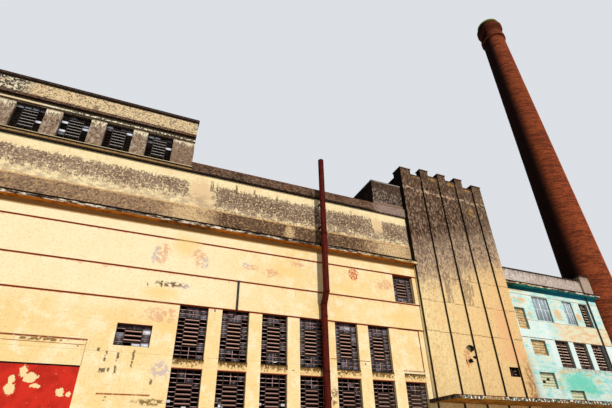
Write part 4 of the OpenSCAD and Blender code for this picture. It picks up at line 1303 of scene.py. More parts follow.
@dataclass(frozen=True)
class DustyGlass(Finish):
    """Dusty window glass, each pane with its own tone from the attribute pane_tone."""

    name: str = "dusty_glass"
    dim, middle, bright, glare, grime = tones("1d1b21 4e4951 9094a8 eef4ff 8d8376")

    def draw(self) -> Material:
        """Draw the material.

        Returns:
            The material.
        """
        s = Sketch(self.name, self.dim)
        own = s.node("ShaderNodeAttribute", attribute_name="pane_tone").outputs["Fac"]
        dust = s.noise(0.06, 4, 0.7, (1.0, 1.0, 1.4))
        s.lay(self.middle, s.ease(own, 0.1, 0.55))
        s.lay(self.bright, s.ease(own, 0.6, 1.0))
        # Painted glare: the panes of highest tone are painted near white and blue.
        s.lay(self.glare, s.ease(own, 0.92, 1.0))
        s.lay(self.grime, s.ease(dust, 0.48, 0.66), 0.3)
        s.shader.inputs["Alpha"].default_value = 0.95
        made = s.finish(s.sum(0.15, (dust, 0.5)), dust, 0.0005)
        s.shader.inputs["Specular IOR Level"].default_value = 0.5
        return made


@dataclass(frozen=True)
class PipePaint(Finish):
    """Dark red paint of the vent pipe, streaked by rain."""

    name: str = "pipe_paint"
    red, streaks, rust = tones("4a130b 641c11 2e0f0a")

    def draw(self) -> Material:
        """Draw the material.

        Returns:
            The material.
        """
        s = Sketch(self.name, self.red)
        rust = s.noise(0.12, 5, 0.75, shift=5.0)
        s.lay(self.streaks, s.ease(s.noise(0.03, 4, 0.7, (1.0, 1.0, 16.0)), 0.42, 0.6))
        s.lay(self.rust, s.ease(rust, 0.52, 0.62), 0.7)
        return s.finish(s.sum(0.5, (rust, 0.4)), rust, 0.002)


@dataclass(frozen=True)
class PlainCoat(Finish):
    """An even coat with light wear, for small fittings.

    Attributes:
        colour: Colour of the coat.
        worn: Colour where it has worn.
        rough: Roughness.
    """

    colour: Colour
    worn: Colour
    rough: float = 0.6

    def draw(self) -> Material:
        """Draw the material.

        Returns:
            The material.
        """
        s = Sketch(self.name, self.colour)
        wear = s.noise(0.09, 5, 0.75)
        s.lay(self.worn, s.ease(wear, 0.46, 0.62))
        return s.finish(s.sum(self.rough - 0.1, (wear, 0.2)), wear, 0.0015)


@dataclass(frozen=True)
class BlockMasonry(Finish):
    """Bare hollow blocks, each with its own tone from the attribute block_tone."""

    name: str = "block_masonry"
    block, pale, dirt, green = tones("c69a66 eed5a2 a98b60 dfeccb")

    def draw(self) -> Material:
        """Draw the material.

        Returns:
            The material.
        """
        s = Sketch(self.name, self.block)
        own = s.node("ShaderNodeAttribute", attribute_name="block_tone").outputs["Fac"]
        grain = s.noise(0.05, 5, 0.75)
        s.lay(self.pale, own)
        s.lay(self.dirt, s.ease(grain, 0.5, 0.64), 0.6)
        s.lay(self.green, s.ease(s.z, 3.8, 3.7), s.ease(s.ragged, 0.36, 0.48), 0.75)
        return s.finish(0.9, grain, 0.005)


@dataclass(frozen=True)
class Brickwork(Finish):
    """Red brick of the chimney in level courses, sooty at the top, with painted sunlight on the side
    towards the sun and painted shade on the side away from it.

    On the round shaft a brick's place is its angle about the axis times a mean radius, and its
    height. On the square pedestal it is the distance along the face.

    Attributes:
        round: Whether the courses run round the axis.
        course: Height of one course.
        length: Length of one brick.
        mean_radius: Radius at which bricks have their true length.
    """

    round: bool
    course: float = 0.0375
    length: float = 0.115
    mean_radius: float = 0.92
    red, orange, purple, mortar = tones("8a3d24 b05528 4a2016 6c4430")
    soot, sunlit, moss, lime = tones("1a1110 cb602c 6b7a14 c9a48c")

    def draw(self) -> Material:
        """Draw the material.

        Returns:
            The material.
        """
        s = Sketch(self.name, self.red)
        low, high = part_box("chimney_shaft")
        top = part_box("chimney_crown")[1].z
        dx = s.math("SUBTRACT", s.x, (low.x + high.x) / 2)
        dy = s.math("SUBTRACT", s.y, (low.y + high.y) / 2)
        if self.round:
            along = s.times(s.math("ARCTAN2", dy, dx), self.mean_radius)
        else:
            along = s.math("ADD", dx, dy)
        place = s.node("ShaderNodeCombineXYZ")
        s.feed(place.inputs[0], along)
        s.feed(place.inputs[1], s.z)
        bricks = s.node("ShaderNodeTexBrick", offset=0.5)
        for socket, value in (
            ("Vector", place.outputs[0]),
            ("Color1", self.red),
            ("Color2", self.orange),
            ("Mortar", self.mortar),
            ("Scale", 1.0),
            ("Mortar Size", 0.004),
            ("Mortar Smooth", 0.2),
            ("Bias", -0.1),
            ("Brick Width", self.length),
            ("Row Height", self.course),
        ):
            s.feed(bricks.inputs[socket], value)
        s.colour = bricks.outputs["Color"]
        rows = s.noise(0.09, 3, 0.7, (9.0, 9.0, 1.0), 2.0)
        spots = s.noise(0.12, 5, 0.8, (1.8, 1.8, 0.8), 8.0)
        s.lay(self.purple, s.ease(rows, 0.46, 0.58), 0.7)
        s.lay(self.purple, s.ease(spots, 0.44, 0.36), 0.7)
        s.lay(self.orange, s.ease(spots, 0.54, 0.62), 0.7)
        if self.round:
            # Painted light and shade: the side towards the sun is painted bright orange and the side
            # away from it nearly black.
            s.lay(self.sunlit, s.facing((0.75, -0.66, 0.0), 0.72, 0.98), 0.7)
            s.lay(self.soot, s.facing((-0.72, 0.69, 0.0), 0.10, 0.65), 0.95)
        haze = s.sum(s.z, (s.ragged, 3.0))
        s.lay(self.soot, s.ease(haze, top - 1.2, top + 1.6), 0.5)
        s.lay(self.soot, s.span(s.z, top - 0.30, top - 0.20, 0.03), 0.8)
        s.lay(self.moss, s.ease(s.z, top - 0.20, top - 0.12), s.ease(s.ragged, 0.36, 0.48), 0.9)
        ring = s.span(s.z, top - 0.36, top - 0.32, 0.02)
        s.lay(self.lime, ring, s.ease(s.ragged, 0.40, 0.5), 0.6)
        return s.finish(0.88, s.math("SUBTRACT", 1.0, bricks.outputs["Fac"]), 0.005)


@dataclass(frozen=True)
class StudioFloor(Finish):
    """Plain pale floor."""

    name: str = "studio_floor"
    base, light = tones("d8d6d1 dedcd8")

    def draw(self) -> Material:
        """Draw the material.

        Returns:
            The material.
        """
        s = Sketch(self.name, self.base)
        s.lay(self.light, s.ragged)
        return s.finish(0.9, None, 0.001)


class Shape:
    """Numpy surfaces that turn into Blender meshes."""

    FACES = np.array(
        [[0, 1, 3, 2], [4, 6, 7, 5], [0, 4, 5, 1], [2, 3, 7, 6], [0, 2, 6, 4], [1, 5, 7, 3]]
    )

    @staticmethod
    def boxes(low: Array, high: Array) -> Surface:
        """Boxes between low and high corners.

        Corner number 4a + 2b + c of a box takes the high X where a is 1, the high Y where b is 1
        and the high Z where c is 1.

        Args:
            low: One low corner a row.
            high: One high corner a row.

        Returns:
            The vertices and the four-sided faces.
        """
        pick = np.array([[(i >> 2) & 1, (i >> 1) & 1, i & 1] for i in range(8)], float)
        points = low[:, None, :] + (high - low)[:, None, :] * pick[None]
        faces = Shape.FACES[None] + 8 * np.arange(len(low))[:, None, None]
        return points.reshape(-1, 3), faces.reshape(-1, 4)

    @staticmethod
    def lathe(profile: Array, centre: Triple, sides: int) -> Surface:
        """A closed profile turned about an upright axis.

        A point is the centre plus the profile's radius times the cosine and sine of the angle,
        plus the profile's height.

        Args:
            profile: Radius and height of each profile point, in order and closed.
            centre: Foot of the axis.
            sides: Number of steps round the axis.

        Returns:
            The vertices and the four-sided faces.
        """
        angle = np.linspace(0, 2 * np.pi, sides, endpoint=False)[:, None]
        radius, height = profile[:, 0][None], profile[:, 1][None]
        points = np.stack(
            [radius * np.cos(angle), radius * np.sin(angle), height + 0 * angle], axis=-1
        ) + np.array(centre)
        count = len(profile)
        i, j = np.meshgrid(np.arange(sides), np.arange(count), indexing="ij")
        ii, jj = (i + 1) % sides, (j + 1) % count
        faces = np.stack([i * count + j, ii * count + j, ii * count + jj, i * count + jj], axis=-1)
        return points.reshape(-1, 3), faces.reshape(-1, 4)

    @staticmethod
    def joined(parts: Sequence[Surface]) -> Surface:
        """Put several surfaces into one.

        Args:
            parts: Vertices and faces of each surface.

        Returns:
            All the vertices and all the faces.
        """
        starts = np.cumsum([0] + [len(points) for points, _ in parts[:-1]])
        points = np.concatenate([points for points, _ in parts])
        faces = np.concatenate([faces + start for (_, faces), start in zip(parts, starts)])
        return points, faces

    @staticmethod
    def piece(
        name: str,
        shape: Surface,
        finish: Material,
        slot: str,
        replaced: Sequence[str] = (),
        tones: tuple[str, Array] | None = None,
    ) -> bpy.types.Object:
        """Make one mesh piece that rides on the building.

        Args:
            name: Name of the piece.
            shape: Its vertices, in the part's frame, and its four-sided faces.
            finish: Its material.
            slot: The record's material slot. It is not used.
            replaced: CAD nodes that it stands for.
            tones: Name of a face attribute and its value for each face.

        Returns:
            The new object.
        """
        points, faces = shape
        mesh = bpy.data.meshes.new(name)
        mesh.vertices.add(len(points))
        mesh.vertices.foreach_set("co", points.astype(np.float32).ravel())
        mesh.loops.add(faces.size)
        mesh.loops.foreach_set("vertex_index", faces.astype(np.int32).ravel())
        mesh.polygons.add(len(faces))
        mesh.polygons.foreach_set("loop_start", np.arange(0, faces.size, 4, dtype=np.int32))
        mesh.update(calc_edges=True)
        if tones is not None:
            layer = mesh.attributes.new(tones[0], "FLOAT", "FACE")
            layer.data.foreach_set("value", tones[1].astype(np.float32))
        mesh.materials.append(finish)
        mesh.validate()
        made = bpy.data.objects.new(name, mesh)
        bpy.context.scene.collection.objects.link(made)
        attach(made, "root")
        if replaced:
            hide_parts(*replaced)
        log.info("%s: %d faces", name, len(faces))
        return made


class Louvre(Enum):
    """How wide a window's louvre is."""

    HALF = "between two columns of panes"
    FULL = "from side to side"


@dataclass(frozen=True)
class Pattern:
    """Rows of a steel window.

    Attributes:
        above: Pane rows above the louvre.
        blades: Rows that the louvre takes.
        louvre: How wide the louvre is.
    """

    above: int
    blades: int
    louvre: Louvre = Louvre.HALF


@dataclass
class SashSet:
    """Panes and glazing bars of like steel windows in one wall.

    Attributes:
        frames: Low and high corner of each window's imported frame.
        pattern: Rows of the windows.
        inward: 1 where the inside lies towards +Y, and -1 where it lies towards -Y.
        kept: Share of the panes that are left above the louvre, beside it and below it, in turn
            for each window.
        bright: Mean tone of the panes above the louvre and of the others, 0 to 1.
        spread: How far the tones scatter about their mean.
        seed: Start of the random numbers.
        bar: Width of the frame's bars.
        depth: Depth of the frame's bars.
        muntin: Width of a glazing bar.
        row: Height of a pane row, near enough to count the rows.
        pane_depths: Front and back of a pane, behind the frame's outer face.
        muntin_depths: Front and back of a glazing bar.
    """

    frames: Array
    pattern: Pattern
    inward: int = 1
    kept: tuple[Triple, ...] = ((0.9, 0.7, 0.5),)
    bright: Span = (0.42, 0.42)
    seed: int = 7
    bar: float = 0.016
    depth: float = 0.036
    muntin: float = 0.014
    row: float = 0.109
    spread: float = 0.24
    pane_depths: Span = (0.022, 0.025)
    muntin_depths: Span = (0.012, 0.022)

    @property
    def size(self) -> Span:
        """Width and height of a window."""
        extent = self.frames[0, 1] - self.frames[0, 0]
        return float(extent[0]), float(extent[2])

    @property
    def rows(self) -> int:
        """Number of pane rows."""
        return round(self.size[1] / self.row)

    @property
    def first(self) -> int:
        """Number of pane rows below the louvre."""
        return self.rows - self.pattern.above - self.pattern.blades

    def _depths(self, near: float, far: float) -> Span:
        """Turn two depths behind the frame's outer face into places along Y.

        Args:
            near: The smaller depth.
            far: The larger depth.

        Returns:
            The lower and the higher Y.
        """
        middle = float(self.frames[0, :, 1].mean())
        ends = [middle + self.inward * (d - self.depth / 2) for d in (near, far)]
        return min(ends), max(ends)

    def _edges(self) -> tuple[Array, Array, Array]:
        """Divide a window into four columns and its rows.

        Returns:
            Edges of the columns, edges of the rows, and which cells hold glass.
        """
        width, height = self.size
        thin, wide = self.muntin / 2, self.bar / 2
        side, middle = (wide, thin) if self.pattern.louvre is Louvre.HALF else (thin, wide)
        at = np.arange(5) * width / 4
        inset = np.array([self.bar, side, middle, side, self.bar])
        columns = np.stack([at[:-1] + inset[:-1], at[1:] - inset[1:]], axis=1)
        step = height / self.rows
        low = np.arange(self.rows) * step
        levels = np.stack([low + thin, low + step - thin], axis=1)
        levels[0, 0], levels[-1, 1] = self.bar, height - self.bar
        glazed = np.ones((4, self.rows), bool)
        open_columns = slice(1, 3) if self.pattern.louvre is Louvre.HALF else slice(0, 4)
        glazed[open_columns, self.first : self.first + self.pattern.blades] = False
        return columns, levels, glazed

    def panes(self) -> tuple[Array, Array, Array]:
        """Work out the panes that are left.

        Each glazed cell keeps its pane where a random number is under the kept share of its row.

        Returns:
            The low corners, the high corners and a tone for each pane.
        """
        columns, levels, glazed = self._edges()
        top = self.first + self.pattern.blades
        number = np.arange(self.rows)
        zone = np.where(number >= top, 0, np.where(number < self.first, 2, 1))
        near, far = self._depths(*self.pane_depths)
        lows, highs, tones = [], [], []
        for index, (corner, _) in enumerate(self.frames):
            dice = np.random.default_rng(self.seed * 100 + index)
            share = np.array(self.kept[index % len(self.kept)])[zone]
            column, row = np.nonzero(glazed & (dice.random(glazed.shape) < share))
            for ends, side, y in ((lows, 0, near), (highs, 1, far)):
                x = corner[0] + columns[column, side]
                z = corner[2] + levels[row, side]
                ends.append(np.stack([x, np.full(len(row), y), z], axis=1))
            mean = np.where(row >= top, *self.bright)
            tones.append(np.clip(dice.normal(mean, self.spread), 0, 1))
        return np.concatenate(lows), np.concatenate(highs), np.concatenate(tones)

    def bars(self) -> Surface:
        """Work out the glazing bars between the panes.

        Level bars run between the rows of each glazed column. Upright bars part the columns above
        and below the louvre where the frame has no bar of its own.

        Returns:
            The low corners and the high corners.
        """
        columns, _, glazed = self._edges()
        width, height = self.size
        step, half = height / self.rows, self.muntin / 2
        near, far = self._depths(*self.muntin_depths)
        local = []
        for column in range(4):
            start, stop = columns[column]
            joints = [r for r in range(1, self.rows) if glazed[column, r - 1] and glazed[column, r]]
            local += [[start, r * step - half, stop, r * step + half] for r in joints]
        uprights = (2,) if self.pattern.louvre is Louvre.HALF else (1, 3)
        for low, high in ((0, self.first), (self.first + self.pattern.blades, self.rows)):
            foot, head = low * step + half, high * step - half
            if high > low:
                middles = [u * width / 4 for u in uprights]
                local += [[middle - half, foot, middle + half, head] for middle in middles]
        table = np.array(local)[None]
        x, z = self.frames[:, :1, 0], self.frames[:, :1, 2]
        flat = 0 * (x + table[..., 0])
        low = np.stack([x + table[..., 0], flat + near, z + table[..., 1]], axis=-1)
        high = np.stack([x + table[..., 2], flat + far, z + table[..., 3]], axis=-1)
        return low.reshape(-1, 3), high.reshape(-1, 3)


@dataclass
class Glazing:
    """All the windows' panes and glazing bars, wall by wall.

    Attributes:
        tall: Height over which a window has the hall's rows.
        singles: Heights between which the hall's high window, its small window and the tower's
            window lie.
        row: Rows of the hall's row windows.
        narrow: Rows of the penthouse's windows.
        wing_row: Rows of the wing's windows.
        whole: Shares of the panes left in a window that is nearly whole.
        empty: The same for a window without glass.
    """

    tall: float = 1.2
    singles: tuple[Span, ...] = ((0.8, 1.2), (0.45, 0.7), (0.0, 0.4))
    row: Pattern = Pattern(3, 7)
    narrow: Pattern = Pattern(1, 6)
    wing_row: Pattern = Pattern(1, 7, Louvre.FULL)
    whole: Triple = (0.95, 0.9, 0.85)
    empty: Triple = (0.0, 0.0, 0.0)

    def hall(self) -> list[SashSet]:
        """Windows of the hall's front and of the tower, told apart by their heights.

        Returns:
            The windows in sets that are alike.
        """
        frames = solids("hall_window_frames")
        height = frames[:, 1, 2] - frames[:, 0, 2]
        rows = frames[height > self.tall]
        high, small, tower = (frames[(height > a) & (height < b)] for a, b in self.singles)
        upper = ((0.8, 0.25, 0.25), (0.8, 0.6, 0.5), (0.7, 0.5, 0.6), (0.95, 0.9, 0.8))
        lower = ((0.25, 0.2, 0.2), (0.12, 0.1, 0.15), (0.1, 0.05, 0.1))
        return [
            SashSet(rows[7:], self.row, 1, upper + (self.whole,) * 3, (0.4, 0.32), seed=3),
            SashSet(rows[:7], self.row, 1, lower, (0.2, 0.2), seed=5),
            SashSet(small, Pattern(1, 3), 1, ((0.95, 0.85, 0.85),), (0.65, 0.7), seed=6),
            SashSet(high, Pattern(2, 5), 1, ((1.0, 0.85, 0.8),), (0.5, 0.55), seed=8),
            SashSet(tower, Pattern(1, 1), 1, (self.empty,), seed=9),
        ]

    def penthouse(self) -> list[SashSet]:
        """Windows of the penthouse."""
        frames = solids("penthouse_window_frames")
        return [SashSet(frames, self.narrow, kept=((0.7, 0.25, 0.0),), bright=(1.1, 1.0), seed=12)]

    def wing(self) -> list[SashSet]:
        """Louvred windows of the wing's front.

        Returns:
            The row of three and the single window.
        """
        frames = solids("wing_window_frames")
        return [
            SashSet(part, self.wing_row, kept=((0.6, 0.3, 0.4),), bright=(0.7, 0.5), seed=seed)
            for part, seed in ((frames[:3], 14), (frames[3:], 15))
        ]

    def back(self) -> list[SashSet]:
        """Windows of the back walls.

        Returns:
            The hall's windows and the wing's.
        """
        frames = solids("back_window_frames")
        tall = frames[:, 1, 2] - frames[:, 0, 2] > self.tall
        return [
            SashSet(frames[tall], self.row, -1, seed=20),
            SashSet(frames[~tall], self.wing_row, -1, seed=21),
        ]

    def build(self, glass: Material, steel: dict[str, Material]) -> None:
        """Make one piece of panes and one of bars for each wall.

        Args:
            glass: Material of the panes.
            steel: Material of the bars, by name of the wall.
        """
        walls = {
            "hall": (self.hall(), "window_steel"),
            "penthouse": (self.penthouse(), "window_steel"),
            "wing": (self.wing(), "rust_steel"),
            "back": (self.back(), "window_steel"),
        }
        for wall, (sets, slot) in walls.items():
            parts = [s.panes() for s in sets]
            low, high, tones = (np.concatenate([p[i] for p in parts]) for i in range(3))
            shades = ("pane_tone", np.repeat(tones, 6))
            sheets, replaced = Shape.boxes(low, high), [f"{wall}_window_glass"]
            Shape.piece(f"{wall}_panes", sheets, glass, "window_glass", replaced, shades)
            bars = [s.bars() for s in sets]
            low, high = (np.concatenate([b[i] for b in bars]) for i in range(2))
            Shape.piece(f"{wall}_glazing_bars", Shape.boxes(low, high), steel[wall], slot)


@dataclass
class Blockwork:
    """Walled-up openings of the wing, laid in hollow blocks with two blocks broken out.

    Attributes:
        along: Blocks in one course.
        course: Height of one course.
        joint: Width of a mortar joint.
        thick: Thickness of the blocks.
        proud: How much farther back than the slab's face a block lies at most.
        recess: How far the mortar lies behind that face.
        shade: Mean and spread of the blocks' tones.
        seed: Start of the random numbers.
        broken: X and Z of places where a block is missing.
    """

    along: int = 5
    course: float = 0.100
    joint: float = 0.010
    thick: float = 0.070
    proud: float = 0.006
    recess: float = 0.012
    shade: Span = (0.55, 0.25)
    seed: int = 31
    broken: tuple[Span, ...] = ((3.16, 3.42), (3.37, 3.50))

    def _cells(self, low: Array, high: Array) -> Array:
        """Divide one opening into blocks in running bond.

        Args:
            low: Low corner of the opening's packed slab.
            high: Its high corner.

        Returns:
            Left, lower, right and upper edge of each block.
        """
        width, height = high[0] - low[0], high[2] - low[2]
        courses = round(height / self.course)
        length, step = width / self.along, height / courses
        cells = []
        for row in range(courses):
            edges = np.clip((np.arange(self.along + 2) - 0.5 * (row % 2)) * length, 0, width)
            cells += [
                [low[0] + a, low[2] + row * step, low[0] + b, low[2] + (row + 1) * step]
                for a, b in zip(edges[:-1], edges[1:])
                if b - a > 2 * self.joint
            ]
        return np.array(cells)

    def build(self, blocks: Material, mortar: Material) -> None:
        """Make the blocks and the mortar between them.

        Args:
            blocks: Material of the blocks.
            mortar: Material of the joints.
        """
        slabs = solids("wing_blocked_openings")
        cells = np.concatenate([self._cells(low, high) for low, high in slabs])
        whole = np.ones(len(cells), bool)
        for x, z in self.broken:
            beside = (cells[:, 0] > x) | (cells[:, 2] <= x)
            whole &= beside | (cells[:, 1] > z) | (cells[:, 3] <= z)
        left, low, right, high = cells[whole].T
        dice = np.random.default_rng(self.seed)
        half, face, back = self.joint / 2, float(slabs[0, 0, 1]), float(slabs[0, 1, 1])
        front = face + dice.uniform(0.0, self.proud, len(left))
        shape = Shape.boxes(
            np.stack([left + half, front, low + half], axis=1),
            np.stack([right - half, 0 * right + face + self.thick, high - half], axis=1),
        )
        tones = np.clip(dice.normal(*self.shade, len(left)), 0, 1)
        shades = ("block_tone", np.repeat(tones, 6))
        replaced = ["wing_blocked_openings"]
        Shape.piece("infill_blocks", shape, blocks, "block_infill", replaced, shades)
        shape = Shape.boxes(
            np.stack([left, 0 * left + face + self.recess, low], axis=1),
            np.stack([right, 0 * right + back, high], axis=1),
        )
        Shape.piece("infill_mortar", shape, mortar, "block_infill")


@dataclass
class Casements:
    """The wing's two closed top windows: white frames with grey panels in two leaves.

    Attributes:
        frame: Width of the outer frame and of the middle stiles.
        bar: Width of the bars inside a leaf.
        proud: How far the middle stiles stand before the outer frame.
        recess: How far the bars lie behind it.
        gap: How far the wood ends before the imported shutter's back.
        sheet: Front and back of a panel, behind the outer frame's face.
    """

    frame: float = 0.050
    bar: float = 0.030
    proud: float = 0.004
    recess: float = 0.006
    gap: float = 0.005
    sheet: Span = (0.018, 0.026)

    def build(self, paint: Material, panel: Material) -> None:
        """Make the white frames and the grey panels.

        Args:
            paint: Material of the frames and bars.
            panel: Material of the panels.
        """
        rails, sheets = [], []
        f, b = self.frame, self.bar / 2
        for (x0, near, z0), (x1, far, z1) in solids("wing_shutters"):
            mid, middle_z = (x0 + x1) / 2, (z0 + z1) / 2
            back, inner = far - self.gap, near + self.recess
            rails += [
                ((x0, near, z0), (x0 + f, back, z1)),
                ((x1 - f, near, z0), (x1, back, z1)),
                ((x0 + f, near, z0), (x1 - f, back, z0 + f)),
                ((x0 + f, near, z1 - f), (x1 - f, back, z1)),
                ((mid - f / 2, near - self.proud, z0 + f), (mid + f / 2, back, z1 - f)),
                ((x0 + f, inner, middle_z - b), (mid - f / 2, back, middle_z + b)),
                ((mid + f / 2, inner, middle_z - b), (x1 - f, back, middle_z + b)),
            ]
            for x in ((x0 + mid) / 2, (mid + x1) / 2):
                rails.append(((x - b, inner, z0 + f), (x + b, back, middle_z - b)))
                rails.append(((x - b, inner, middle_z + b), (x + b, back, z1 - f)))
            front, rear = (near + depth for depth in self.sheet)
            sheets.append(((x0 + f / 2, front, z0 + f / 2), (x1 - f / 2, rear, z1 - f / 2)))
        for name, table, finish, nodes in (
            ("casement_frames", np.array(rails), paint, ["wing_shutters"]),
            ("casement_panels", np.array(sheets), panel, []),
        ):
            Shape.piece(name, Shape.boxes(table[:, 0], table[:, 1]), finish, "shutter_paint", nodes)


@dataclass
class PipeFittings:
    """Straps round the vent pipe at its brackets and bolts on its collars.

    Attributes:
        radius: Radius of the pipe.
        collars: Height, axis distance and radius of each collar.
        strap: Half the height of a strap.
        band: Inner and outer face of a strap, from the pipe's surface.
        sides: Flat sides of a strap.
        bolts: Number of bolts on a collar.
        bolt: Half of a bolt's length, depth and height.
    """

    radius: float = 0.100
    collars: tuple[Triple, ...] = ((2.470, 0.150, 0.116), (7.550, 0.366, 0.116))
    strap: float = 0.022
    band: Span = (-0.002, 0.007)
    sides: int = 40
    bolts: int = 8
    bolt: Triple = (0.008, 0.008, 0.012)

    def build(self, steel: Material) -> None:
        """Make the straps and the bolts.

        Args:
            steel: Their material.
        """
        low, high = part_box("vent_pipe")
        axis_x = (low.x + high.x) / 2
        inside, outside = self.band
        ring = np.array([[inside, -1.0], [outside, -1.0], [outside, 1.0], [inside, 1.0]])
        ring = ring * [1.0, self.strap] + [self.radius, 0.0]
        parts = []
        for low, high in solids("pipe_brackets"):
            centre = (axis_x, float(low[1]) - self.radius, float(low[2] + high[2]) / 2)
            parts.append(Shape.lathe(ring, centre, self.sides))
        angle = np.linspace(0, 2 * np.pi, self.bolts, endpoint=False)
        for z, out, radius in self.collars:
            x, y = axis_x + radius * np.cos(angle), -out + radius * np.sin(angle)
            centre = np.stack([x, y, z + 0 * angle], axis=1)
            parts.append(Shape.boxes(centre - self.bolt, centre + self.bolt))
        Shape.piece("pipe_straps", Shape.joined(parts), steel, "rust_steel")


@dataclass
class Studio:
    """Camera at the photograph's viewing angle, pale floor and soft light.

    Attributes:
        place: Where the camera stands.
        right: Direction of the picture's right side.
        up: Direction of the picture's top.
        forward: Direction in which it looks.
        lens: Focal length on a 36 mm sensor.
        sun_from: Direction from which the key light comes.
        sun: Strength of the key light.
        sun_colour: Colour of the key light.
        sun_size: Angle over which it spreads, in radians.
        fill: Strength of the surroundings.
        sky: Colour of the surroundings' light.
        backdrop: Colour of what the camera sees behind the building.
        glow: Strength of the backdrop.
        floor_half: Half of the floor's side.
        floor_z: Height of the floor, a little below the building's foot.
    """

    place: Triple = (-11.3967, -11.5736, 0.9061)
    right: Triple = (0.92071, -0.38990, -0.01653)
    up: Triple = (-0.19363, -0.49320, 0.84809)
    forward: Triple = (0.33883, 0.77764, 0.52959)
    lens: float = 24.7125
    sun_from: Triple = (0.1154, -0.8210, 0.5592)
    sun: float = 2.95
    sun_colour: Triple = (1.0, 0.98, 0.94)
    sun_size: float = 0.05
    fill: float = 0.15
    sky: Colour = (0.80, 0.87, 1.0, 1.0)
    backdrop: Colour = (0.80, 0.83, 0.87, 1.0)
    glow: float = 0.9
    floor_half: float = 160.0
    floor_z: float = -0.002

    def build(self) -> None:
        """Make the camera, the floor, the light and the surroundings."""
        self._camera()
        self._floor()
        self._key()
        self._surroundings()

    def _place(self, thing: bpy.types.Object, axes: Sequence[Sequence[float]], at: Triple) -> None:
        """Turn an object so that its axes lie along directions, and put it somewhere.

        Args:
            thing: The object.
            axes: Where its X, Y and Z axes point.
            at: Where it goes.
        """
        matrix = np.eye(4)
        matrix[:3, :3] = np.array(axes, float).T
        matrix[:3, 3] = at
        thing.matrix_world = Matrix(matrix.tolist())
        bpy.context.scene.collection.objects.link(thing)

    def _camera(self) -> None:
        """Put the camera where the photographer stood."""
        data = bpy.data.cameras.new("photo_camera")
        data.sensor_fit = "HORIZONTAL"
        data.sensor_width = 36.0
        data.lens = self.lens
        data.clip_end = 400.0
        camera = bpy.data.objects.new("photo_camera", data)
        self._place(camera, (self.right, self.up, [-v for v in self.forward]), self.place)
        bpy.context.scene.camera = camera

    def _floor(self) -> None:
        """Lay the floor under the building."""
        mesh = bpy.data.meshes.new("studio_floor")
        a, b, z = -self.floor_half, self.floor_half, self.floor_z
        corners = [(a, a, z), (b, a, z), (b, b, z), (a, b, z)]
        mesh.from_pydata(corners, [], [(0, 1, 2, 3)])
        mesh.materials.append(StudioFloor().draw())
        floor = bpy.data.objects.new("studio_floor", mesh)
        bpy.context.scene.collection.objects.link(floor)

    def _key(self) -> None:
        """Hang the soft key light."""
        data = bpy.data.lights.new("key_light", "SUN")
        data.energy = self.sun
        data.angle = self.sun_size
        data.color = self.sun_colour
        key = bpy.data.objects.new("key_light", data)
        away = -np.array(self.sun_from)
        side = np.cross(away, UP)
        side /= np.linalg.norm(side)
        self._place(key, (side, np.cross(side, away), -away), (20.0, -30.0, 20.0))

    def _surroundings(self) -> None:
        """Fill the surroundings with weak light behind a pale backdrop."""
        world = bpy.data.worlds.new("studio")
        bpy.context.scene.world = world
        world.use_nodes = True
        tree = world.node_tree
        dim = tree.nodes["Background"]
        dim.inputs["Color"].default_value = self.sky
        dim.inputs["Strength"].default_value = self.fill
        pale = tree.nodes.new("ShaderNodeBackground")
        pale.inputs["Color"].default_value = self.backdrop
        pale.inputs["Strength"].default_value = self.glow
        path = tree.nodes.new("ShaderNodeLightPath")
        mix = tree.nodes.new("ShaderNodeMixShader")
        tree.links.new(path.outputs["Is Camera Ray"], mix.inputs[0])
        tree.links.new(dim.outputs[0], mix.inputs[1])
        tree.links.new(pale.outputs[0], mix.inputs[2])
        tree.links.new(mix.outputs[0], tree.nodes["World Output"].inputs[0])
        view = bpy.context.scene.view_settings
        view.view_transform = "Standard"
        view.look = "None"


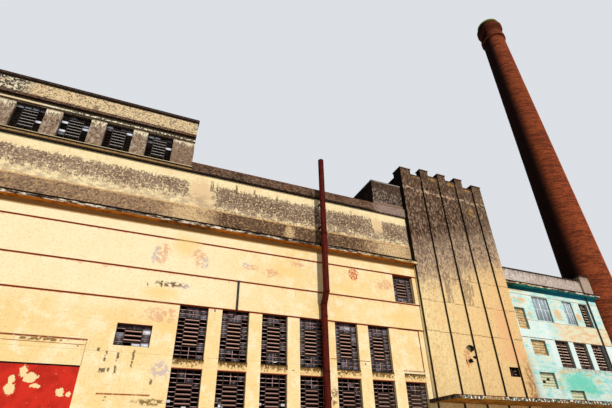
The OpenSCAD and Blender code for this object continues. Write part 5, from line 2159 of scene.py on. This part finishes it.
@dataclass
class Building:
    """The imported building's own nodes and the finish that each of them wears."""

    finishes: dict[str, Material] = field(default_factory=dict)

    def material(self, finish: Finish) -> Material:
        """Draw a finish once and hand the same material back after that.

        Args:
            finish: The finish.

        Returns:
            Its material.
        """
        key = repr(finish)
        if key not in self.finishes:
            self.finishes[key] = finish.draw()
        return self.finishes[key]

    def wear(self, finish: Finish, *nodes: str) -> None:
        """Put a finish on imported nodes.

        Args:
            finish: The finish.
            *nodes: Names of the nodes.
        """
        material = self.material(finish)
        for name in nodes:
            node = frame["nodes"][name]
            node.data.materials.clear()
            node.data.materials.append(material)
            log.info("%s wears %s", name, material.name)

    def dress(self) -> None:
        """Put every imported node's finish on it."""
        self._dress_hall()
        self._dress_penthouse()
        self._dress_tower()
        self._dress_wing()
        self.wear(Concrete("roof_concrete", *tones("8d867a 4f4a42")), "roof_slabs")
        # The floor slabs' nearly black tones are painted shade for the dim rooms, with some sooty
        # grime.
        self.wear(Concrete("floor_concrete", *tones("1d1916 100d0b")), "floor_slabs")
        self.wear(Brickwork("shaft_brick", True), "chimney_shaft", "chimney_crown")
        self.wear(Brickwork("pedestal_brick", False), "chimney_pedestal")

    def _dress_hall(self) -> None:
        """Dress the hall, its cornice, its windows and its pipe."""
        cream = CreamPlaster("cream_plaster_front", True, Facing.BACK)
        self.wear(cream, "hall_front_wall", "hall_banded_wall")
        self.wear(cream, "window_infill_panel", "gateway_lintel")
        self.wear(CreamPlaster("cream_plaster_back", False, Facing.FRONT), "hall_back_wall")
        self.wear(CreamPlaster("cream_plaster_end", False, Facing.RIGHT), "hall_end_wall")
        self.wear(FriezePlaster(), "hall_frieze_wall")
        self.wear(RedFlakes(), "gateway_infill")
        soffit, dark = tones("c4751f 964c0c")
        spans = ((-10.9, -9.7), (-5.0, -3.6))
        cornice = CornicePaint("cornice_cream", "hall_cornice", soffit, dark, *spans, far=dark)
        self.wear(cornice, "hall_cornice")
        caps = ("hall_parapet_caps", "penthouse_ledges", "penthouse_coping", "tower_copings")
        self.wear(MouldyConcrete(), *caps)
        steel = (*tones("463733 5a2217 dcae9a"), 0.15)
        front, back = "hall_window_frames", "back_window_frames"
        self.wear(OldSteel("sash_steel", *steel, node=front), front)
        self.wear(OldSteel("back_steel", *steel, node=back, outward=1), back)
        self.wear(PipePaint(), "vent_pipe")
        rust = tone("6a3420")
        self.wear(OldSteel("bracket_steel", tone("4b2d20"), rust, rust, 0.8), "pipe_brackets")
        metal = PlainCoat("grey_metal", *tones("4b4644 2a2523"), 0.55)
        self.wear(metal, "tower_cowl", "thin_pipes")

    def _dress_penthouse(self) -> None:
        """Dress the penthouse and the block on the roof beside the tower."""
        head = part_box("penthouse_window_glass")[1].z
        strip = (head + 0.085, head + 0.135)
        front = RoofPlaster("penthouse_plaster", split=head + 0.03, strip=strip)
        self.wear(front, "penthouse_front_wall")
        rear = RoofPlaster("penthouse_rear_plaster", low=tone("cfb084"), cover=0.6)
        self.wear(rear, "penthouse_rear_walls")
        dark = tones("5f4939 5f4939 40302a")
        block = RoofPlaster("roof_block_plaster", *dark, 10.3, cover=0.7, foot=9.60, drip=0.0)
        self.wear(block, "roof_block_walls")
        steel = (*tones("2e2624 4a2a1c e2d8d2"), 0.15)
        node = "penthouse_window_frames"
        self.wear(OldSteel("penthouse_steel", *steel, node=node), node)

    def _dress_tower(self) -> None:
        """Dress the tower."""
        front = TowerPlaster("tower_plaster_front", True, Facing.BACK)
        self.wear(front, "tower_front_wall", "tower_base_wall", "tower_fins")
        self.wear(TowerPlaster("tower_plaster_back", False, Facing.FRONT), "tower_back_wall")
        self.wear(TowerPlaster("tower_plaster_sides"), "tower_side_walls")

    def _dress_wing(self) -> None:
        """Dress the wing and the canopy."""
        front = TurquoisePlaster("turquoise_front", Facing.BACK)
        self.wear(front, "wing_front_wall", "wing_base_wall")
        self.wear(TurquoisePlaster("turquoise_back", Facing.FRONT), "wing_back_wall")
        self.wear(TurquoisePlaster("turquoise_end", Facing.LEFT), "wing_end_wall")
        self.wear(PinkPlaster("pink_parapet", "wing_parapet", tone("c9bbb0")), "wing_parapet")
        self.wear(PinkPlaster("pink_pier", "wing_end_pier", tone("b8a594")), "wing_end_pier")
        soffit, dark, far = tones("2a918c 155450 1d7f9c")
        spans = ((2.1, 2.6), (5.0, 2.5))
        cornice = CornicePaint("cornice_teal", "wing_cornice", soffit, dark, *spans, far=far)
        self.wear(cornice, "wing_cornice")
        self.wear(CanopyConcrete(), "canopy_slab")
        node = "wing_window_frames"
        steel = (*tones("7a5646 743a28 ffe0c8"), 0.1)
        self.wear(OldSteel("wing_steel", *steel, node=node), node)

    def fit(self) -> None:
        """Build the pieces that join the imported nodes."""
        glass = self.material(DustyGlass())
        grey = self.material(PlainCoat("muntin_paint", *tones("cfafa9 8e4a40")))
        brown = self.material(PlainCoat("wing_muntin_paint", *tones("6b4434 8a6550")))
        dark = self.material(PlainCoat("dark_muntin_paint", *tones("34201a 1d120e")))
        Glazing().build(glass, {"hall": grey, "penthouse": dark, "back": grey, "wing": brown})
        mortar = self.material(PlainCoat("mortar", *tones("a58a62 80694a"), 0.9))
        Blockwork().build(self.material(BlockMasonry()), mortar)
        white = self.material(PlainCoat("white_frames", *tones("f0f6f5 c6d2d4")))
        panel = self.material(PlainCoat("grey_panels", *tones("909fab a9b6be"), 0.45))
        Casements().build(white, panel)
        straps = PlainCoat("strap_steel", *tones("4e1c14 35140e"), 0.5)
        PipeFittings().build(self.material(straps))


def main() -> None:
    """Build the studio and the building."""
    logging.basicConfig(level=logging.INFO, format="%(name)s %(message)s")
    Studio().build()
    building = Building()
    building.dress()
    building.fit()


if __name__ == "__main__":
    main()
